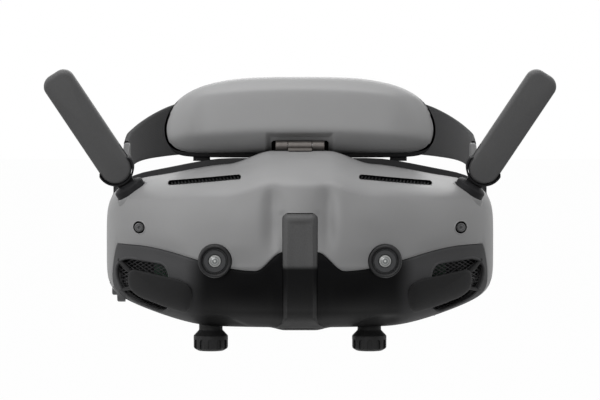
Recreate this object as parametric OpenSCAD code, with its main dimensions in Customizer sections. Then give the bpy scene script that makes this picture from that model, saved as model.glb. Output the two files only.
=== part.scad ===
/* [Casing] */
// Half width of the casing at the eye line
case_half_w = 80; // [74:0.5:88]
// Depth of the casing from its front to its rear rim at the middle
case_depth = 58; // [52:0.5:64]
// Height of the shoulders above the eye line
shoulder_z = 30.4; // [28:0.2:34]
// Height of the middle peak above the eye line
peak_z = 39.4; // [37:0.2:43]
// Depth of the underside below the eye line
belly_z = 32; // [30:0.2:36]
// Distance of the rear rim in front of the face seat, at the middle
rim_y = 46; // [44:0.5:50]
// How far the rear rim comes back towards the head at the sides
rim_sweep = 22; // [18:0.5:25]
// Wall of the moulded shells
wall = 2; // [1.6:0.1:2.4]
// Thickness of the face foam
foam_t = 14; // [10:0.5:16]
// Radius of the curve that the face foam follows
face_r = 120; // [110:1:140]

/* [Optics] */
// Eye centre to mid-plane on the wearer's right, as stored
eye_right = 36.3; // [35.5:0.1:36.5]
// Eye centre to mid-plane on the wearer's left, as stored
eye_left = 28.2; // [28:0.1:28.5]
// Travel of each eyepiece carriage
eye_travel = 7.8; // [5:0.1:8]
// Radius of the eyepiece barrel
barrel_r = 18; // [16:0.2:19]
// Travel of the barrel when the focus knob turns
focus_travel = 4; // [2:0.2:5]
// Radius of the carriage guide rods
rod_r = 1.5; // [1.2:0.1:2]
// Radius of the focus knob
knob_r = 7; // [6:0.2:7.4]
// Radius of the focus knob's neck
neck_r = 4.8; // [3.6:0.2:5]
// Height of the gripped barrel of the focus knob
knob_h = 6.4; // [5:0.2:8]

/* [Front cameras] */
// Camera centre to mid-plane
cam_x = 33.2; // [30:0.2:36]
// Camera centre below the eye line
cam_drop = 2.8; // [1:0.2:5]
// Radius of the camera bezel
bezel_r = 6.6; // [6:0.1:7.4]
// Radius of the camera module
module_r = 4.6; // [4:0.1:5]

/* [Antennas] */
// Length of the blade from its pivot to its tip
blade_l = 45.5; // [38:0.5:47]
// Width of the blade
blade_w = 13.2; // [12:0.2:14]
// Thickness of the blade
blade_t = 5.4; // [4.6:0.2:6]
// Outward lean of the open blade
blade_lean = 32.5; // [28:0.5:40]
// Lean of the blade's plane towards the front
blade_tip_in = 12; // [6:1:15]
// Pivot to mid-plane
pivot_x = 74.5; // [73:0.1:78]
// Pivot in front of the face seat
pivot_y = 58; // [56:0.5:60]
// Pivot above the eye line
pivot_z = 32.8; // [32:0.1:35]

/* [Forehead support] */
// Half width of the housing
pad_half_w = 56.4; // [50:0.2:60]
// Height of the housing's lower edge
pad_z0 = 37.2; // [37:0.1:39]
// Height of the housing's top
pad_z1 = 69.4; // [66:0.2:74]
// Depth of the housing
pad_d = 25; // [22:0.5:27]
// Front of the housing, in front of the face seat
pad_y = 52.5; // [50:0.5:53]
// Thickness of the forehead foam
pad_foam_t = 10; // [6:0.5:14]
// Radius of the hinge knuckles
knuckle_r = 1.9; // [1.7:0.1:2.1]
// Height of the hinge axis
hinge_z = 41.4; // [41:0.1:42]
// Half length of the hinge barrel
hinge_half = 9.9; // [8:0.1:11]

/* [Headband] */
// Thickness of the webbing
strap_t = 2.2; // [1.6:0.2:3]
// Width of the webbing at its front ends
strap_w_front = 15; // [12:0.5:18]
// Width of the webbing behind the head
strap_w_rear = 26; // [20:0.5:30]
// Height of the tab pivots
tab_z = 32.5; // [32:0.1:34]
// Distance of the tabs' inner faces from the mid-plane
tab_x = 71.4; // [70:0.2:72]

/* [Hidden] */
$fn = 48;

// Clearance between parts that move past each other
gap = 0.3;
// Running clearance, on the radius, of a pin in its bore
run = 0.06;
// Gap between parts that are fixed face to face
fit = 0.05;
// Fineness of the moulded surfaces: columns round the casing and rows up each half
cols = 44;
rows = 12;
// Squareness of the casing: in plan, across the corners, and of the face's upper and lower curve
plan_n = 2.7;
corner_n = 5;
brow_n = 3.2;
chin_n = 2.8;
// Row at which the face turns into the top or the underside
turn_v = 0.9;
// Share of the width left open where the rows meet at the rear rim
pole = 0.02;

// Smooth step from 0 at a to 1 at b
function ease(a, b, x) = let (t = min(1, max(0, (x - a) / (b - a)))) t * t * (3 - 2 * t);
// Superellipse partner of a share s for squareness n
function super(s, n) = pow(max(0, 1 - pow(min(1, abs(s)), n)), 1 / n);
// Sign-keeping power
function spow(s, p) = sign(s) * pow(abs(s), p);
// Height of the top and depth of the underside along the width
function top_z(x) = shoulder_z + (peak_z - shoulder_z) * (0.4 * ease(60, 27, abs(x)) + 0.6 * ease(30, 11, abs(x)));
function bottom_z(x) = -belly_z + 6 * ease(34, 76, abs(x)) - 1.2 * ease(13, 6, abs(x));
// Place of the rear rim along the width
function rim(x) = -rim_y + rim_sweep * pow(x / case_half_w, 2);
// Height of the seam between the front shell and the lower shell
function seam_z(x) = -6.7 + 8.7 * ease(17.5, 66, abs(x)) + 7.5 * ease(17.5, 6.6, abs(x))
    - 25 * ease(73.5, 79.5, abs(x));
// Point of the casing: lam turns round the casing, v goes from the underside (-1) to the top (1)
function case_point(lam, v, off) =
    let (hx = super(v, corner_n), hy = super(v, v > 0 ? brow_n : chin_n),
         x = (case_half_w - off) * spow(sin(lam), 2 / plan_n) * hx,
         y = rim(x) - (case_depth - off) * spow(cos(lam), 2 / plan_n) * hy,
         z = v > 0 ? v * (top_z(x) - off) : -v * (bottom_z(x) + off))
    [x, y, z];
// Row value of the seam for a column
function seam_v(lam) =
    let (x = case_half_w * spow(sin(lam), 2 / plan_n), s = seam_z(x))
    s > 0 ? s / top_z(x) : -s / bottom_z(x);
// Row value at share t of the way from v0 to the top or underside (side is 1 or -1)
function row_v(t, v0, side) =
    t < 0.5 ? v0 + (side * turn_v - v0) * t * 2
            : let (h0 = super(turn_v, corner_n), h = h0 + (pole - h0) * (t * 2 - 1)) side * super(h, corner_n);
function col_lam(i) = -90 + 180 * i / cols;
function grid_at(off, side, v_shift) = [for (j = [0:rows]) for (i = [0:cols])
    case_point(col_lam(i), row_v(j / rows, seam_v(col_lam(i)) + v_shift, side), off)];
function idx(i, j) = j * (cols + 1) + i;
// Faces of a closed skin between two grids of the same size
function skin_faces(n, flip) =
    let (f = concat(
        [for (j = [0:rows - 1]) for (i = [0:cols - 1]) [idx(i, j), idx(i, j + 1), idx(i + 1, j + 1)]],
        [for (j = [0:rows - 1]) for (i = [0:cols - 1]) [idx(i, j), idx(i + 1, j + 1), idx(i + 1, j)]],
        [for (j = [0:rows - 1]) for (i = [0:cols - 1]) [n + idx(i, j), n + idx(i + 1, j + 1), n + idx(i, j + 1)]],
        [for (j = [0:rows - 1]) for (i = [0:cols - 1]) [n + idx(i, j), n + idx(i + 1, j), n + idx(i + 1, j + 1)]],
        [for (i = [0:cols - 1]) [idx(i, 0), idx(i + 1, 0), n + idx(i + 1, 0)]],
        [for (i = [0:cols - 1]) [idx(i, 0), n + idx(i + 1, 0), n + idx(i, 0)]],
        [for (i = [0:cols - 1]) [idx(i + 1, rows), idx(i, rows), n + idx(i, rows)]],
        [for (i = [0:cols - 1]) [idx(i + 1, rows), n + idx(i, rows), n + idx(i + 1, rows)]],
        [for (j = [0:rows - 1]) [idx(0, j + 1), idx(0, j), n + idx(0, j)]],
        [for (j = [0:rows - 1]) [idx(0, j + 1), n + idx(0, j), n + idx(0, j + 1)]],
        [for (j = [0:rows - 1]) [idx(cols, j), idx(cols, j + 1), n + idx(cols, j + 1)]],
        [for (j = [0:rows - 1]) [idx(cols, j), n + idx(cols, j + 1), n + idx(cols, j)]]))
    flip ? f : [for (t = f) [t[0], t[2], t[1]]];
// Half of the casing's skin between two offsets, above (side 1) or below (side -1) the seam
module case_skin(out, in, side, v_shift = 0) {
    a = grid_at(out, side, v_shift);
    b = grid_at(in, side, v_shift);
    polyhedron(points = concat(a, b), faces = skin_faces(len(a), side > 0), convexity = 8);
}
// Makes a smooth shell as one mesh
module as_mesh() { resize([0, 0, 0]) children(); }
// Copies a piece to the wearer's left (1) and right (-1)
module both() {
    for (s = [1, -1])
        mirror([s > 0 ? 0 : 1, 0, 0]) children();
}
// Turns an upright profile so that it stands in the front view and runs along Y from y0 to y1
module front_prism(y0, y1) {
    translate([0, y1, 0]) rotate([90, 0, 0]) linear_extrude(y1 - y0) children();
}

// ---- Outlines in the front view, for the wearer's left ----
INTAKE = [[72, -4.5], [68.7, -3.2], [53.4, -4.6], [51.4, -8.8], [51.6, -22.6], [55, -25.2],
    [64.9, -21.8], [71, -18.4], [74, -12], [74, -7.3]];
PANEL = [[67.6, -7.9], [47.6, -11], [43, -13.4], [42.5, -16.9], [43.4, -22.6], [45.4, -24.3],
    [54.2, -22.2], [64.9, -18.8], [68.7, -15.7], [68.9, -10]];
SPINE = [[0, 15.7], [5.2, 15.7], [6.5, 14.4], [6.4, -26.4], [9, -29.4], [12.4, -31.4], [12.8, -36], [0, -36]];
VENT_IN = [25, 29.2];
VENT_OUT = [52, 26.6];
VENT_HALF = 0.9;
SCREW_AT = [64.2, 9.2];
screw_r = 1.85;
screw_l = 5;

// ---- Casing ----
module vent_slot(grow) {
    hull()
        for (p = [VENT_IN, VENT_OUT])
            translate(p) circle(VENT_HALF + grow, $fn = 16);
}
module antenna_place() {
    translate([pivot_x, -pivot_y, pivot_z])
        rotate([blade_tip_in, 0, 0])
            rotate([0, blade_lean, 0]) children();
}
base_r = 6.3;
base_top = 9;
base_len = 8;
module front_shell() {
    color("#8d8d8e") as_mesh() difference() {
        case_skin(0, wall, 1);
        both() {
            front_prism(-110, -50) vent_slot(0);
            bezel_hole();
            translate([SCREW_AT.x, -50, SCREW_AT.y]) rotate([90, 0, 0]) cylinder(r = screw_r + gap, h = 40);
            antenna_place() translate([0, 0, -base_top - 30]) cylinder(r = base_r + fit, h = 60);
        }
        side_cuts();
    }
}
knob_y = 51.5;
usb_y = 36.5;
usb_z = -14.6;
usb_w = 8.9;
usb_h = 3.2;
card_w = 11.4;
card_h = 1.4;
five_y = 45;
five_z = -19.5;
five_r = 3.1;
back_y = 35;
back_r = 2;
link_x = 54;
link_y = 38.8;
link_r = 1.6;
// Holes for the sockets and the small buttons
module side_cuts() {
    translate([70, -usb_y - usb_w / 2 - fit, usb_z - usb_h / 2 - fit])
        cube([20, usb_w + 2 * fit, usb_h + 2 * fit]);
    translate([-90, -usb_y - card_w / 2 - fit, usb_z - card_h / 2 - fit])
        cube([20, card_w + 2 * fit, card_h + 2 * fit]);
    translate([-90, -five_y, five_z]) rotate([0, 90, 0]) cylinder(r = five_r + gap, h = 25);
    translate([-90, -back_y, five_z + 1]) rotate([0, 90, 0]) cylinder(r = back_r + gap, h = 25);
    translate([link_x, -link_y, -40]) cylinder(r = link_r + gap, h = 20);
}
module bezel_hole() {
    translate([cam_x, -80, -cam_drop]) rotate([90, 0, 0]) cylinder(r = bezel_r + fit, h = 40);
}
module knob_slot() {
    hull()
        for (x = [eye_left, eye_right + 0.2])
            translate([x, -knob_y, -45]) cylinder(r = neck_r + 2 * gap, h = 20);
}
module lower_shell() {
    color("#26272a") as_mesh() difference() {
        case_skin(0, wall, -1, -0.004);
        both() {
            front_prism(-110, -55) polygon(INTAKE);
            bezel_hole();
            knob_slot();
        }
        side_cuts();
    }
}
spine_proud = 1.3;
module centre_spine() {
    color("#3c3c3e") as_mesh() intersection() {
        union() {
            case_skin(-spine_proud, -fit, 1, -0.01);
            case_skin(-spine_proud, -fit, -1);
        }
        union() {
            front_prism(-115, -50) polygon(SPINE);
            front_prism(-115, -50) mirror([1, 0]) polygon(SPINE);
        }
    }
}
// Outline of the rear frame in the front view, a distance off inside the casing
frame_rows = 18;
function frame_top(x) = 36.6 - 3.4 * ease(28, 62, abs(x));
function frame_pt(v, off, s) =
    let (hx = super(v, corner_n), x = (case_half_w - off) * hx)
    [s * x, v > 0 ? v * (frame_top(x) - off) : -v * (bottom_z(x) + off)];
function frame_vs() = [for (k = [-frame_rows:frame_rows])
    sign(k) * super(cos(90 * abs(k) / frame_rows), corner_n)];
function frame_outline(off) = concat(
    [for (v = frame_vs()) frame_pt(v, off, 1)],
    [for (k = [1:2 * frame_rows - 1]) frame_pt(-frame_vs()[k], off, -1)]);
// Arc that the face foam follows, for a radius, and the plan shape between two rear curves
face_cy = sqrt(face_r * face_r - 75 * 75);
function face_y(x, r) = face_cy - sqrt(r * r - x * x);
plan_step = 4;
plan_x = 84;
module plan_band(front_r, rear_r, clear) {
    xs = [for (x = [-plan_x:plan_step:plan_x]) x];
    rev = [for (x = [plan_x:-plan_step:-plan_x]) x];
    translate([0, 0, -60]) linear_extrude(120)
        polygon(concat(
            [for (x = xs) [x, front_r > 0 ? face_y(x, front_r) + clear : rim(x) + clear]],
            [for (x = rev) [x, face_y(x, rear_r)]]));
}
NOSE = [[-17, -45], [17, -45], [7, -13], [4, -10], [-4, -10], [-7, -13]];
lug_t = 3;
lug_x = tab_x + 3.2;
tab_y = 20.5;
tab_pin_r = 1.5;
module mask_frame() {
    color("#161617") difference() {
        union() {
            intersection() {
                front_prism(-60, 20) difference() {
                    polygon(frame_outline(0.4));
                    polygon(frame_outline(3.4));
                }
                plan_band(0, face_r + foam_t, 0.15);
            }
            both() translate([lug_x, -24.4, 20]) cube([lug_t, 6.4, 8]);
            both() hull() {
                translate([lug_x, -24.4, 26]) cube([lug_t, 8, 1]);
                translate([lug_x, -tab_y, tab_z]) rotate([0, 90, 0]) cylinder(r = 3.6, h = lug_t);
            }
        }
        front_prism(-60, 20) polygon(NOSE);
        both() translate([lug_x - 1, -tab_y, tab_z]) rotate([0, 90, 0]) cylinder(r = tab_pin_r + run, h = 6);
    }
}
module face_foam() {
    color("#1d1d1f") intersection() {
        front_prism(-60, 20) difference() {
            polygon(frame_outline(2));
            polygon(frame_outline(13));
            polygon(NOSE);
        }
        plan_band(face_r + foam_t, face_r, fit);
    }
}
plate_y = 42.6;
plate_t = 1.4;
module eye_plate() {
    color("#101011") front_prism(-plate_y, -plate_y + plate_t) difference() {
        intersection() {
            polygon(frame_outline(5.8));
            square([136, 51], center = true);
        }
        both() hull()
            for (x = [eye_left, eye_right + 0.4])
                translate([x, 0]) circle(barrel_r + 0.7);
    }
}
module vent_grilles() {
    color("#1a1a1b") both() as_mesh() intersection() {
        case_skin(0.7, 1.8, 1);
        front_prism(-110, -50) vent_slot(-0.1);
    }
}
module intake_meshes() {
    color("#1a1a1b") both() as_mesh() intersection() {
        case_skin(wall + 0.1, wall + 0.9, -1, -0.02);
        front_prism(-110, -56.6) offset(delta = 1) polygon(INTAKE);
    }
}
strut = 2.2;
module intake_panel() {
    color("#3a3b3d") as_mesh() intersection() {
        case_skin(-1.6, -fit, -1);
        front_prism(-110, -40) {
            polygon(PANEL);
            hull() {
                translate([68, -9.5]) circle(strut / 2, $fn = 12);
                translate([72.5, -3.6]) circle(strut / 2, $fn = 12);
            }
        }
    }
}
module intake_panel_left() { intake_panel(); }
module intake_panel_right() { mirror([1, 0, 0]) intake_panel(); }

// ---- Front cameras and screws ----
bezel_front = rim_y + case_depth - 2.4;
bezel_back = bezel_front - 9.6;
module camera_bezels() {
    color("#202123") both() translate([cam_x, -bezel_back, -cam_drop]) rotate([90, 0, 0]) difference() {
        cylinder(r = bezel_r, h = bezel_front - bezel_back);
        translate([0, 0, -1]) cylinder(r = module_r + fit, h = bezel_front - bezel_back + 2);
    }
}
module_len = 14;
module camera_modules() {
    color("#0d0d0f") both() translate([cam_x, -bezel_front + 1.2 + module_len, -cam_drop]) rotate([90, 0, 0])
        difference() {
            cylinder(r = module_r, h = module_len);
            translate([0, 0, module_len - 3]) cylinder(r = 2.4, h = 4);
        }
}
module camera_glasses() {
    color("#15171c") both() translate([cam_x, -bezel_front + 1.1, -cam_drop]) rotate([90, 0, 0])
        cylinder(r = module_r, h = 0.8);
}
screw_y = rim_y + case_depth - 41;
module front_screws() {
    color("#48484a") both() translate([SCREW_AT.x, -screw_y + screw_l, SCREW_AT.y]) rotate([90, 0, 0])
        difference() {
            union() {
                cylinder(r = 1, h = screw_l);
                translate([0, 0, screw_l - 1.8]) cylinder(r = screw_r, h = 6);
            }
            translate([0, 0, screw_l + 2.7]) cylinder(r = 0.75, h = 3, $fn = 6);
        }
}

// ---- Optics ----
rod_y = 51;
rod_z = 21.5;
rod_half = 59.4;
bracket_x = 56.6;
bracket_t = 2.6;
module guide_rods() {
    color("silver") for (z = [-rod_z, rod_z])
        translate([-rod_half, -rod_y, z]) rotate([0, 90, 0]) cylinder(r = rod_r, h = 2 * rod_half);
}
board_y = 66.2;
board_t = 1.6;
post_r = 2;
module inner_frame() {
    color("#2c2c2e") difference() {
        union() {
            both() translate([bracket_x, -53.6, -23.3]) cube([bracket_t, 8, 48.6]);
            both() translate([bracket_x, -board_y, -6]) cube([bracket_t, 20.2, 12]);
            translate([-bracket_x, -plate_y - 3, 24.2]) cube([2 * bracket_x, 2.8, 2.6]);
        }
        for (z = [-rod_z, rod_z])
            translate([-rod_half - 1, -rod_y, z]) rotate([0, 90, 0])
                cylinder(r = rod_r + fit, h = 2 * rod_half + 2);
    }
}
car_half = 19.5;
car_y0 = 56;
car_y1 = 46.6;
car_z = 24;
skirt_y = 64;
module carriage(x) {
    color("#1f2022") translate([x, 0, 0]) difference() {
        union() {
            translate([-car_half, -car_y0, -car_z]) cube([2 * car_half, car_y0 - car_y1, 2 * car_z]);
            translate([-3.6, -knob_y - 3.4, -26.5]) cube([7.2, 6.8, 3]);
            translate([-car_half, -skirt_y, -car_half]) cube([2 * car_half, skirt_y - car_y0, 2 * car_half]);
        }
        translate([0, -car_y0 - 0.01, 0]) rotate([-90, 0, 0]) cylinder(r = barrel_r + run, h = 20);
        translate([0, -skirt_y - 1, 0]) translate([-18.3, 0, -18.3]) cube([36.6, skirt_y - car_y0 + 1, 36.6]);
        for (z = [-rod_z, rod_z])
            translate([-30, -rod_y, z]) rotate([0, 90, 0]) cylinder(r = rod_r + run, h = 60);
        translate([0, -knob_y, -27]) cylinder(r = shaft_r + run, h = 3);
    }
}
module carriage_left() { carriage(eye_left); }
module carriage_right() { carriage(-eye_right); }
barrel_y0 = 58;
barrel_y1 = 35.4;
module barrel(x) {
    color("#131314") translate([x, -barrel_y0, 0]) rotate([-90, 0, 0]) difference() {
        cylinder(r = barrel_r, h = barrel_y0 - barrel_y1);
        translate([0, 0, -1]) cylinder(r = barrel_r - 1.4, h = 40);
    }
}
module barrel_left() { barrel(eye_left); }
module barrel_right() { barrel(-eye_right); }
lens_depth = 4;
module eye_lens(x) {
    color("#9fb3c8") translate([x, -barrel_y1 - lens_depth, 0]) rotate([90, 0, 0]) intersection() {
        cylinder(r = barrel_r - 1.4 - fit, h = 6);
        translate([0, 0, 36]) sphere(r = 36, $fn = 64);
    }
}
module eye_lens_left() { eye_lens(eye_left); }
module eye_lens_right() { eye_lens(-eye_right); }
module display(x) {
    color("#1b2a3c") translate([x - 18.2, -skirt_y + 0.2, -18.2]) cube([36.4, 2, 36.4]);
}
module display_left() { display(eye_left); }
module display_right() { display(-eye_right); }
shaft_r = 2.4;
knob_z0 = 35.5;
module focus_knob(x) {
    color("#2b2b2d") translate([x, -knob_y, 0]) difference() {
        union() {
            translate([0, 0, -31]) cylinder(r = shaft_r, h = 6.7);
            translate([0, 0, -33.6]) cylinder(r = neck_r, h = 4.2);
            translate([0, 0, -knob_z0]) cylinder(r1 = knob_r, r2 = neck_r, h = 2);
            translate([0, 0, -knob_z0 - knob_h + 1]) cylinder(r = knob_r, h = knob_h - 1);
            translate([0, 0, -knob_z0 - knob_h]) cylinder(r1 = knob_r - 1.6, r2 = knob_r, h = 1);
        }
        for (a = [0:30:330])
            rotate([0, 0, a]) translate([knob_r, 0, -knob_z0 - knob_h - 1]) cylinder(r = 0.6, h = 4.4);
    }
}
module focus_knob_left() { focus_knob(eye_left); }
module focus_knob_right() { focus_knob(-eye_right); }

// ---- Electronics ----
module main_board() {
    color("#1d4a33") translate([-58.4, -board_y - board_t, -19]) cube([116.8, board_t, 38]);
}
sink_y = board_y + board_t + 0.2;
module heat_sink() {
    color("#9a9c9e") {
        translate([-27, -sink_y - 2, -15]) cube([54, 2, 30]);
        for (x = [-26:4:25])
            translate([x, -sink_y - 9, -15]) cube([1.2, 7.1, 30]);
    }
}
fan_y0 = sink_y + 9.2;
fan_w = 29;
fan_d = 9;
fan_r = 12.4;
module fan_housing() {
    color("#151516") translate([0, -fan_y0, 0]) rotate([90, 0, 0]) difference() {
        union() {
            difference() {
                translate([-fan_w / 2, -fan_w / 2, 0]) cube([fan_w, fan_w, fan_d]);
                translate([0, 0, -1]) cylinder(r = fan_r + 0.7, h = fan_d + 2);
            }
            translate([-fan_w / 2, -1.5, 0]) cube([fan_w, 3, 1]);
            cylinder(r = 3.6, h = 1);
            cylinder(r = 1.1, h = 7.4);
        }
    }
}
module fan_rotor() {
    color("#0e0e0f") translate([0, -fan_y0 - 1.3, 0]) rotate([90, 0, 0]) difference() {
        union() {
            cylinder(r = 5, h = 6.4);
            for (a = [0:40:320])
                rotate([0, 0, a]) translate([4, -0.5, 0]) cube([fan_r - 4.2, 1, 6]);
        }
        translate([0, 0, -1]) cylinder(r = 1.1 + run, h = 9);
    }
}
module usb_socket() {
    color("silver") translate([70.6, -usb_y - usb_w / 2, usb_z - usb_h / 2]) difference() {
        cube([8.2, usb_w, usb_h]);
        translate([1.2, 0.4, 0.4]) cube([9, usb_w - 0.8, usb_h - 0.8]);
    }
}
module card_socket() {
    color("silver") translate([-78.6, -usb_y - card_w / 2, usb_z - card_h / 2]) difference() {
        cube([9, card_w, card_h]);
        translate([-1, 0.2, 0.3]) cube([9, card_w - 0.4, card_h - 0.6]);
    }
}
module face_sensor() {
    color("#08080a") translate([-4, -plate_y + plate_t + fit, 12]) cube([8, 1, 4]);
}
module five_way_button() {
    color("#77787a") translate([-77.2, -five_y, five_z]) rotate([0, 90, 0]) cylinder(r = five_r, h = 7);
}
module back_button() {
    color("#3a3a3c") translate([-78.4, -back_y, five_z + 1]) rotate([0, 90, 0]) cylinder(r = back_r, h = 6);
}
module link_button() {
    color("#3a3a3c") translate([link_x, -link_y, bottom_z(link_x) + 0.6]) cylinder(r = link_r, h = 5);
}

// ---- Antennas: the pivot is the origin, the blade runs along +Z and is blade_t thick along Y ----
tongue_t = 2;
tongue_r = 5.4;
ant_pin_r = 1.3;
fork_r = 9.8;
module antenna_base() {
    color("#19191b") antenna_place() difference() {
        union() {
            translate([0, 0, -base_top - base_len]) cylinder(r = base_r, h = base_len);
            translate([-3.4, -tongue_t / 2, -base_top - 1]) cube([6.8, tongue_t, base_top + 1]);
            rotate([90, 0, 0]) translate([0, 0, -tongue_t / 2]) cylinder(r = tongue_r, h = tongue_t);
        }
        rotate([90, 0, 0]) translate([0, 0, -10]) cylinder(r = ant_pin_r + run, h = 20);
    }
}
module antenna_base_left() { antenna_base(); }
module antenna_base_right() { mirror([1, 0, 0]) antenna_base(); }
// Flat outline of the blade, grown by g
tip_r = 4.6;
module blade_outline(g) {
    rotate([90, 0, 0]) hull() {
        translate([0, 0, -blade_t / 2 - g]) cylinder(r = blade_w / 2 + g, h = blade_t + 2 * g);
        for (x = [-1, 1])
            translate([x * (blade_w / 2 - tip_r), blade_l - tip_r, -blade_t / 2 - g])
                cylinder(r = tip_r + g, h = blade_t + 2 * g);
    }
}
board_slot = 1.2;
module antenna_blade() {
    color("#3d3d3f") antenna_place() difference() {
        blade_outline(0);
        rotate([90, 0, 0]) translate([0, 0, -tongue_t / 2 - gap / 2]) cylinder(r = fork_r, h = tongue_t + gap);
        translate([-4.6, -board_slot / 2, fork_r + 2]) cube([9.2, board_slot, blade_l - fork_r - 5]);
    }
    color("#3d3d3f") antenna_place() rotate([90, 0, 0])
        translate([0, 0, -tongue_t / 2 - gap / 2]) cylinder(r = ant_pin_r, h = tongue_t + gap);
}
module antenna_blade_left() { antenna_blade(); }
module antenna_blade_right() { mirror([1, 0, 0]) antenna_blade(); }
module antenna_board() {
    color("#1d4a33") antenna_place()
        translate([-4.4, -0.4, fork_r + 2.2]) cube([8.8, 0.8, blade_l - fork_r - 5.4]);
}
module antenna_board_left() { antenna_board(); }
module antenna_board_right() { mirror([1, 0, 0]) antenna_board(); }

// ---- Forehead support ----
hinge_y = 49;
center_half = 4.9;
pin_r = 0.9;
module hinge_bracket() {
    color("#2e2a27") difference() {
        union() {
            translate([-center_half, -hinge_y, hinge_z]) rotate([0, 90, 0])
                cylinder(r = knuckle_r, h = 2 * center_half);
            translate([-center_half, -hinge_y - 7, peak_z + fit]) cube([2 * center_half, 7, 1]);
            translate([-center_half, -hinge_y - knuckle_r, peak_z + fit]) cube([2 * center_half, 2 * knuckle_r, 1]);
        }
        translate([-hinge_half, -hinge_y, hinge_z]) rotate([0, 90, 0]) cylinder(r = pin_r + fit, h = 2 * hinge_half);
    }
}
module hinge_pin() {
    color("silver") translate([-hinge_half + 0.2, -hinge_y, hinge_z]) rotate([0, 90, 0])
        cylinder(r = pin_r, h = 2 * hinge_half - 0.4);
}
notch_half = 11.9;
notch_z = 44;
pad_mid_y = 38;
// One layer of the housing's outline in the front view, drawn in by g and h deep at y
module pad_layer(g, y, h, z0) {
    translate([0, y + h, 0]) rotate([90, 0, 0]) linear_extrude(h) offset(delta = -g) hull() {
        for (s = [-1, 1]) {
            translate([s * (pad_half_w - 14), pad_z1 - 12.6]) circle(10.5, $fn = 32);
            translate([s * (pad_half_w - 7.5), z0 + 8]) circle(7.5, $fn = 32);
            translate([s * (pad_half_w - 12), z0 + 5]) circle(5, $fn = 32);
        }
        translate([0, pad_z1 - 60]) intersection() {
            circle(60, $fn = 96);
            translate([-30, 40]) square([60, 30]);
        }
    }
}
module pad_solid(g) {
    hull() {
        pad_layer(5 + g, -pad_y + g, 0.1, pad_z0 + 3.6);
        pad_layer(1.6 + g, -pad_y + 3 + g, 0.1, pad_z0 + 3);
        pad_layer(g, -pad_y + 7.5, 0.1, pad_z0 + 2.4);
        pad_layer(g, -pad_mid_y - 0.1, 0.1, pad_z0 + 1);
    }
}
module pad_front_shell() {
    color("#98989a") as_mesh() difference() {
        pad_solid(0);
        intersection() {
            pad_solid(wall);
            translate([-80, -60, 0]) cube([160, 60, 100]);
        }
        translate([-50, -pad_mid_y - 1, 44]) cube([100, 3, 18]);
        translate([-notch_half, -60, 20]) cube([2 * notch_half, 30, notch_z - 20]);
    }
    color("#98989a") both() difference() {
        union() {
            translate([center_half + 0.1, -hinge_y, hinge_z]) rotate([0, 90, 0])
                cylinder(r = knuckle_r, h = hinge_half - center_half - 0.1);
            translate([center_half + 0.1, -hinge_y, hinge_z - 0.4])
                cube([hinge_half - center_half - 0.1, 3, notch_z - hinge_z + 0.6]);
        }
        translate([0, -hinge_y, hinge_z]) rotate([0, 90, 0]) cylinder(r = pin_r + run, h = 12);
    }
}
rear_d = pad_d - (pad_y - pad_mid_y);
module pad_rear_shell() {
    color("#19191a") as_mesh() difference() {
        hull() {
            pad_layer(0.6, -pad_mid_y + fit, 0.1, pad_z0);
            pad_layer(1.6, -pad_mid_y + rear_d - 3, 0.1, pad_z0);
            pad_layer(5, -pad_mid_y + rear_d - 0.1, 0.1, pad_z0);
        }
        translate([-46, -pad_mid_y - 1, notch_z + 2.9]) cube([92, 6, 15.6]);
        translate([button_x, -button_y, pad_z1 - 8.6]) cylinder(r = button_r + gap, h = 20);
    }
}
button_x = 26;
button_y = 33.4;
button_r = 3;
module power_button() {
    color("#5c5c5e") translate([button_x, -button_y, pad_z1 - 7.8]) cylinder(r = button_r, h = 7.6);
}
module forehead_foam() {
    color("#222224") hull() {
        pad_layer(6, -pad_mid_y + rear_d + fit, 2, pad_z0 + 4);
        pad_layer(9, -pad_mid_y + rear_d + fit + pad_foam_t - 0.2, 0.2, pad_z0 + 4);
    }
}
cell_z0 = 47.2;
module battery_cells() {
    color("#6f7f8f") both() translate([1.2, -47.6, cell_z0]) cube([43, 9.8, 15]);
}
module battery_board() {
    color("#1d4a33") translate([-40, -37.4, cell_z0 + 0.2]) cube([80, 1.4, 13.2]);
}

// ---- Headband ----
// Middle line of the webbing on the wearer's left, from its tab to behind the head
STRAP_HALF = [[73, -9, 35.2], [73.5, 6, 36.6], [73.6, 22, 38.2], [72.4, 40, 40], [69.6, 58, 42],
    [65, 76, 44], [58.4, 94, 46], [49.6, 110, 47.6], [38.4, 124, 48.8], [25.4, 134, 49.6], [12.8, 139.4, 50]];
STRAP_LINE = concat(STRAP_HALF, [[0, 141, 50]],
    [for (i = [len(STRAP_HALF) - 1:-1:0]) [-STRAP_HALF[i].x, STRAP_HALF[i].y, STRAP_HALF[i].z]]);
function unit(v) = v / norm(v);
function tangent(p, i) = unit(p[min(len(p) - 1, i + 1)] - p[max(0, i - 1)]);
function strap_w(y) = strap_w_front + (strap_w_rear - strap_w_front) * ease(30, 130, y);
// Corner of the band: a is across its thickness and b across its width, each -1 or 1
function band_pt(p, i, a, b, t, w) =
    let (tan = tangent(p, i), out = unit(cross(tan, [0, 0, 1])), up = unit(cross(out, tan)))
    p[i] + out * a * t / 2 + up * b * w / 2;
module strap() {
    n = len(STRAP_LINE);
    corners = [[-1, -1], [1, -1], [1, 1], [-1, 1]];
    pts = [for (i = [0:n - 1]) for (c = corners)
        band_pt(STRAP_LINE, i, c[0], c[1], strap_t, strap_w(STRAP_LINE[i].y))];
    sides = [for (i = [0:n - 2]) for (k = [0:3]) let (a = i * 4 + k, b = i * 4 + (k + 1) % 4)
        each [[a, b, b + 4], [a, b + 4, a + 4]]];
    m = (n - 1) * 4;
    color("#1e1e20") polyhedron(
        points = pts,
        faces = concat(sides, [[0, 2, 1], [0, 3, 2], [m, m + 1, m + 2], [m, m + 2, m + 3]]),
        convexity = 6);
}
buckle_wall = 2.4;
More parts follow.
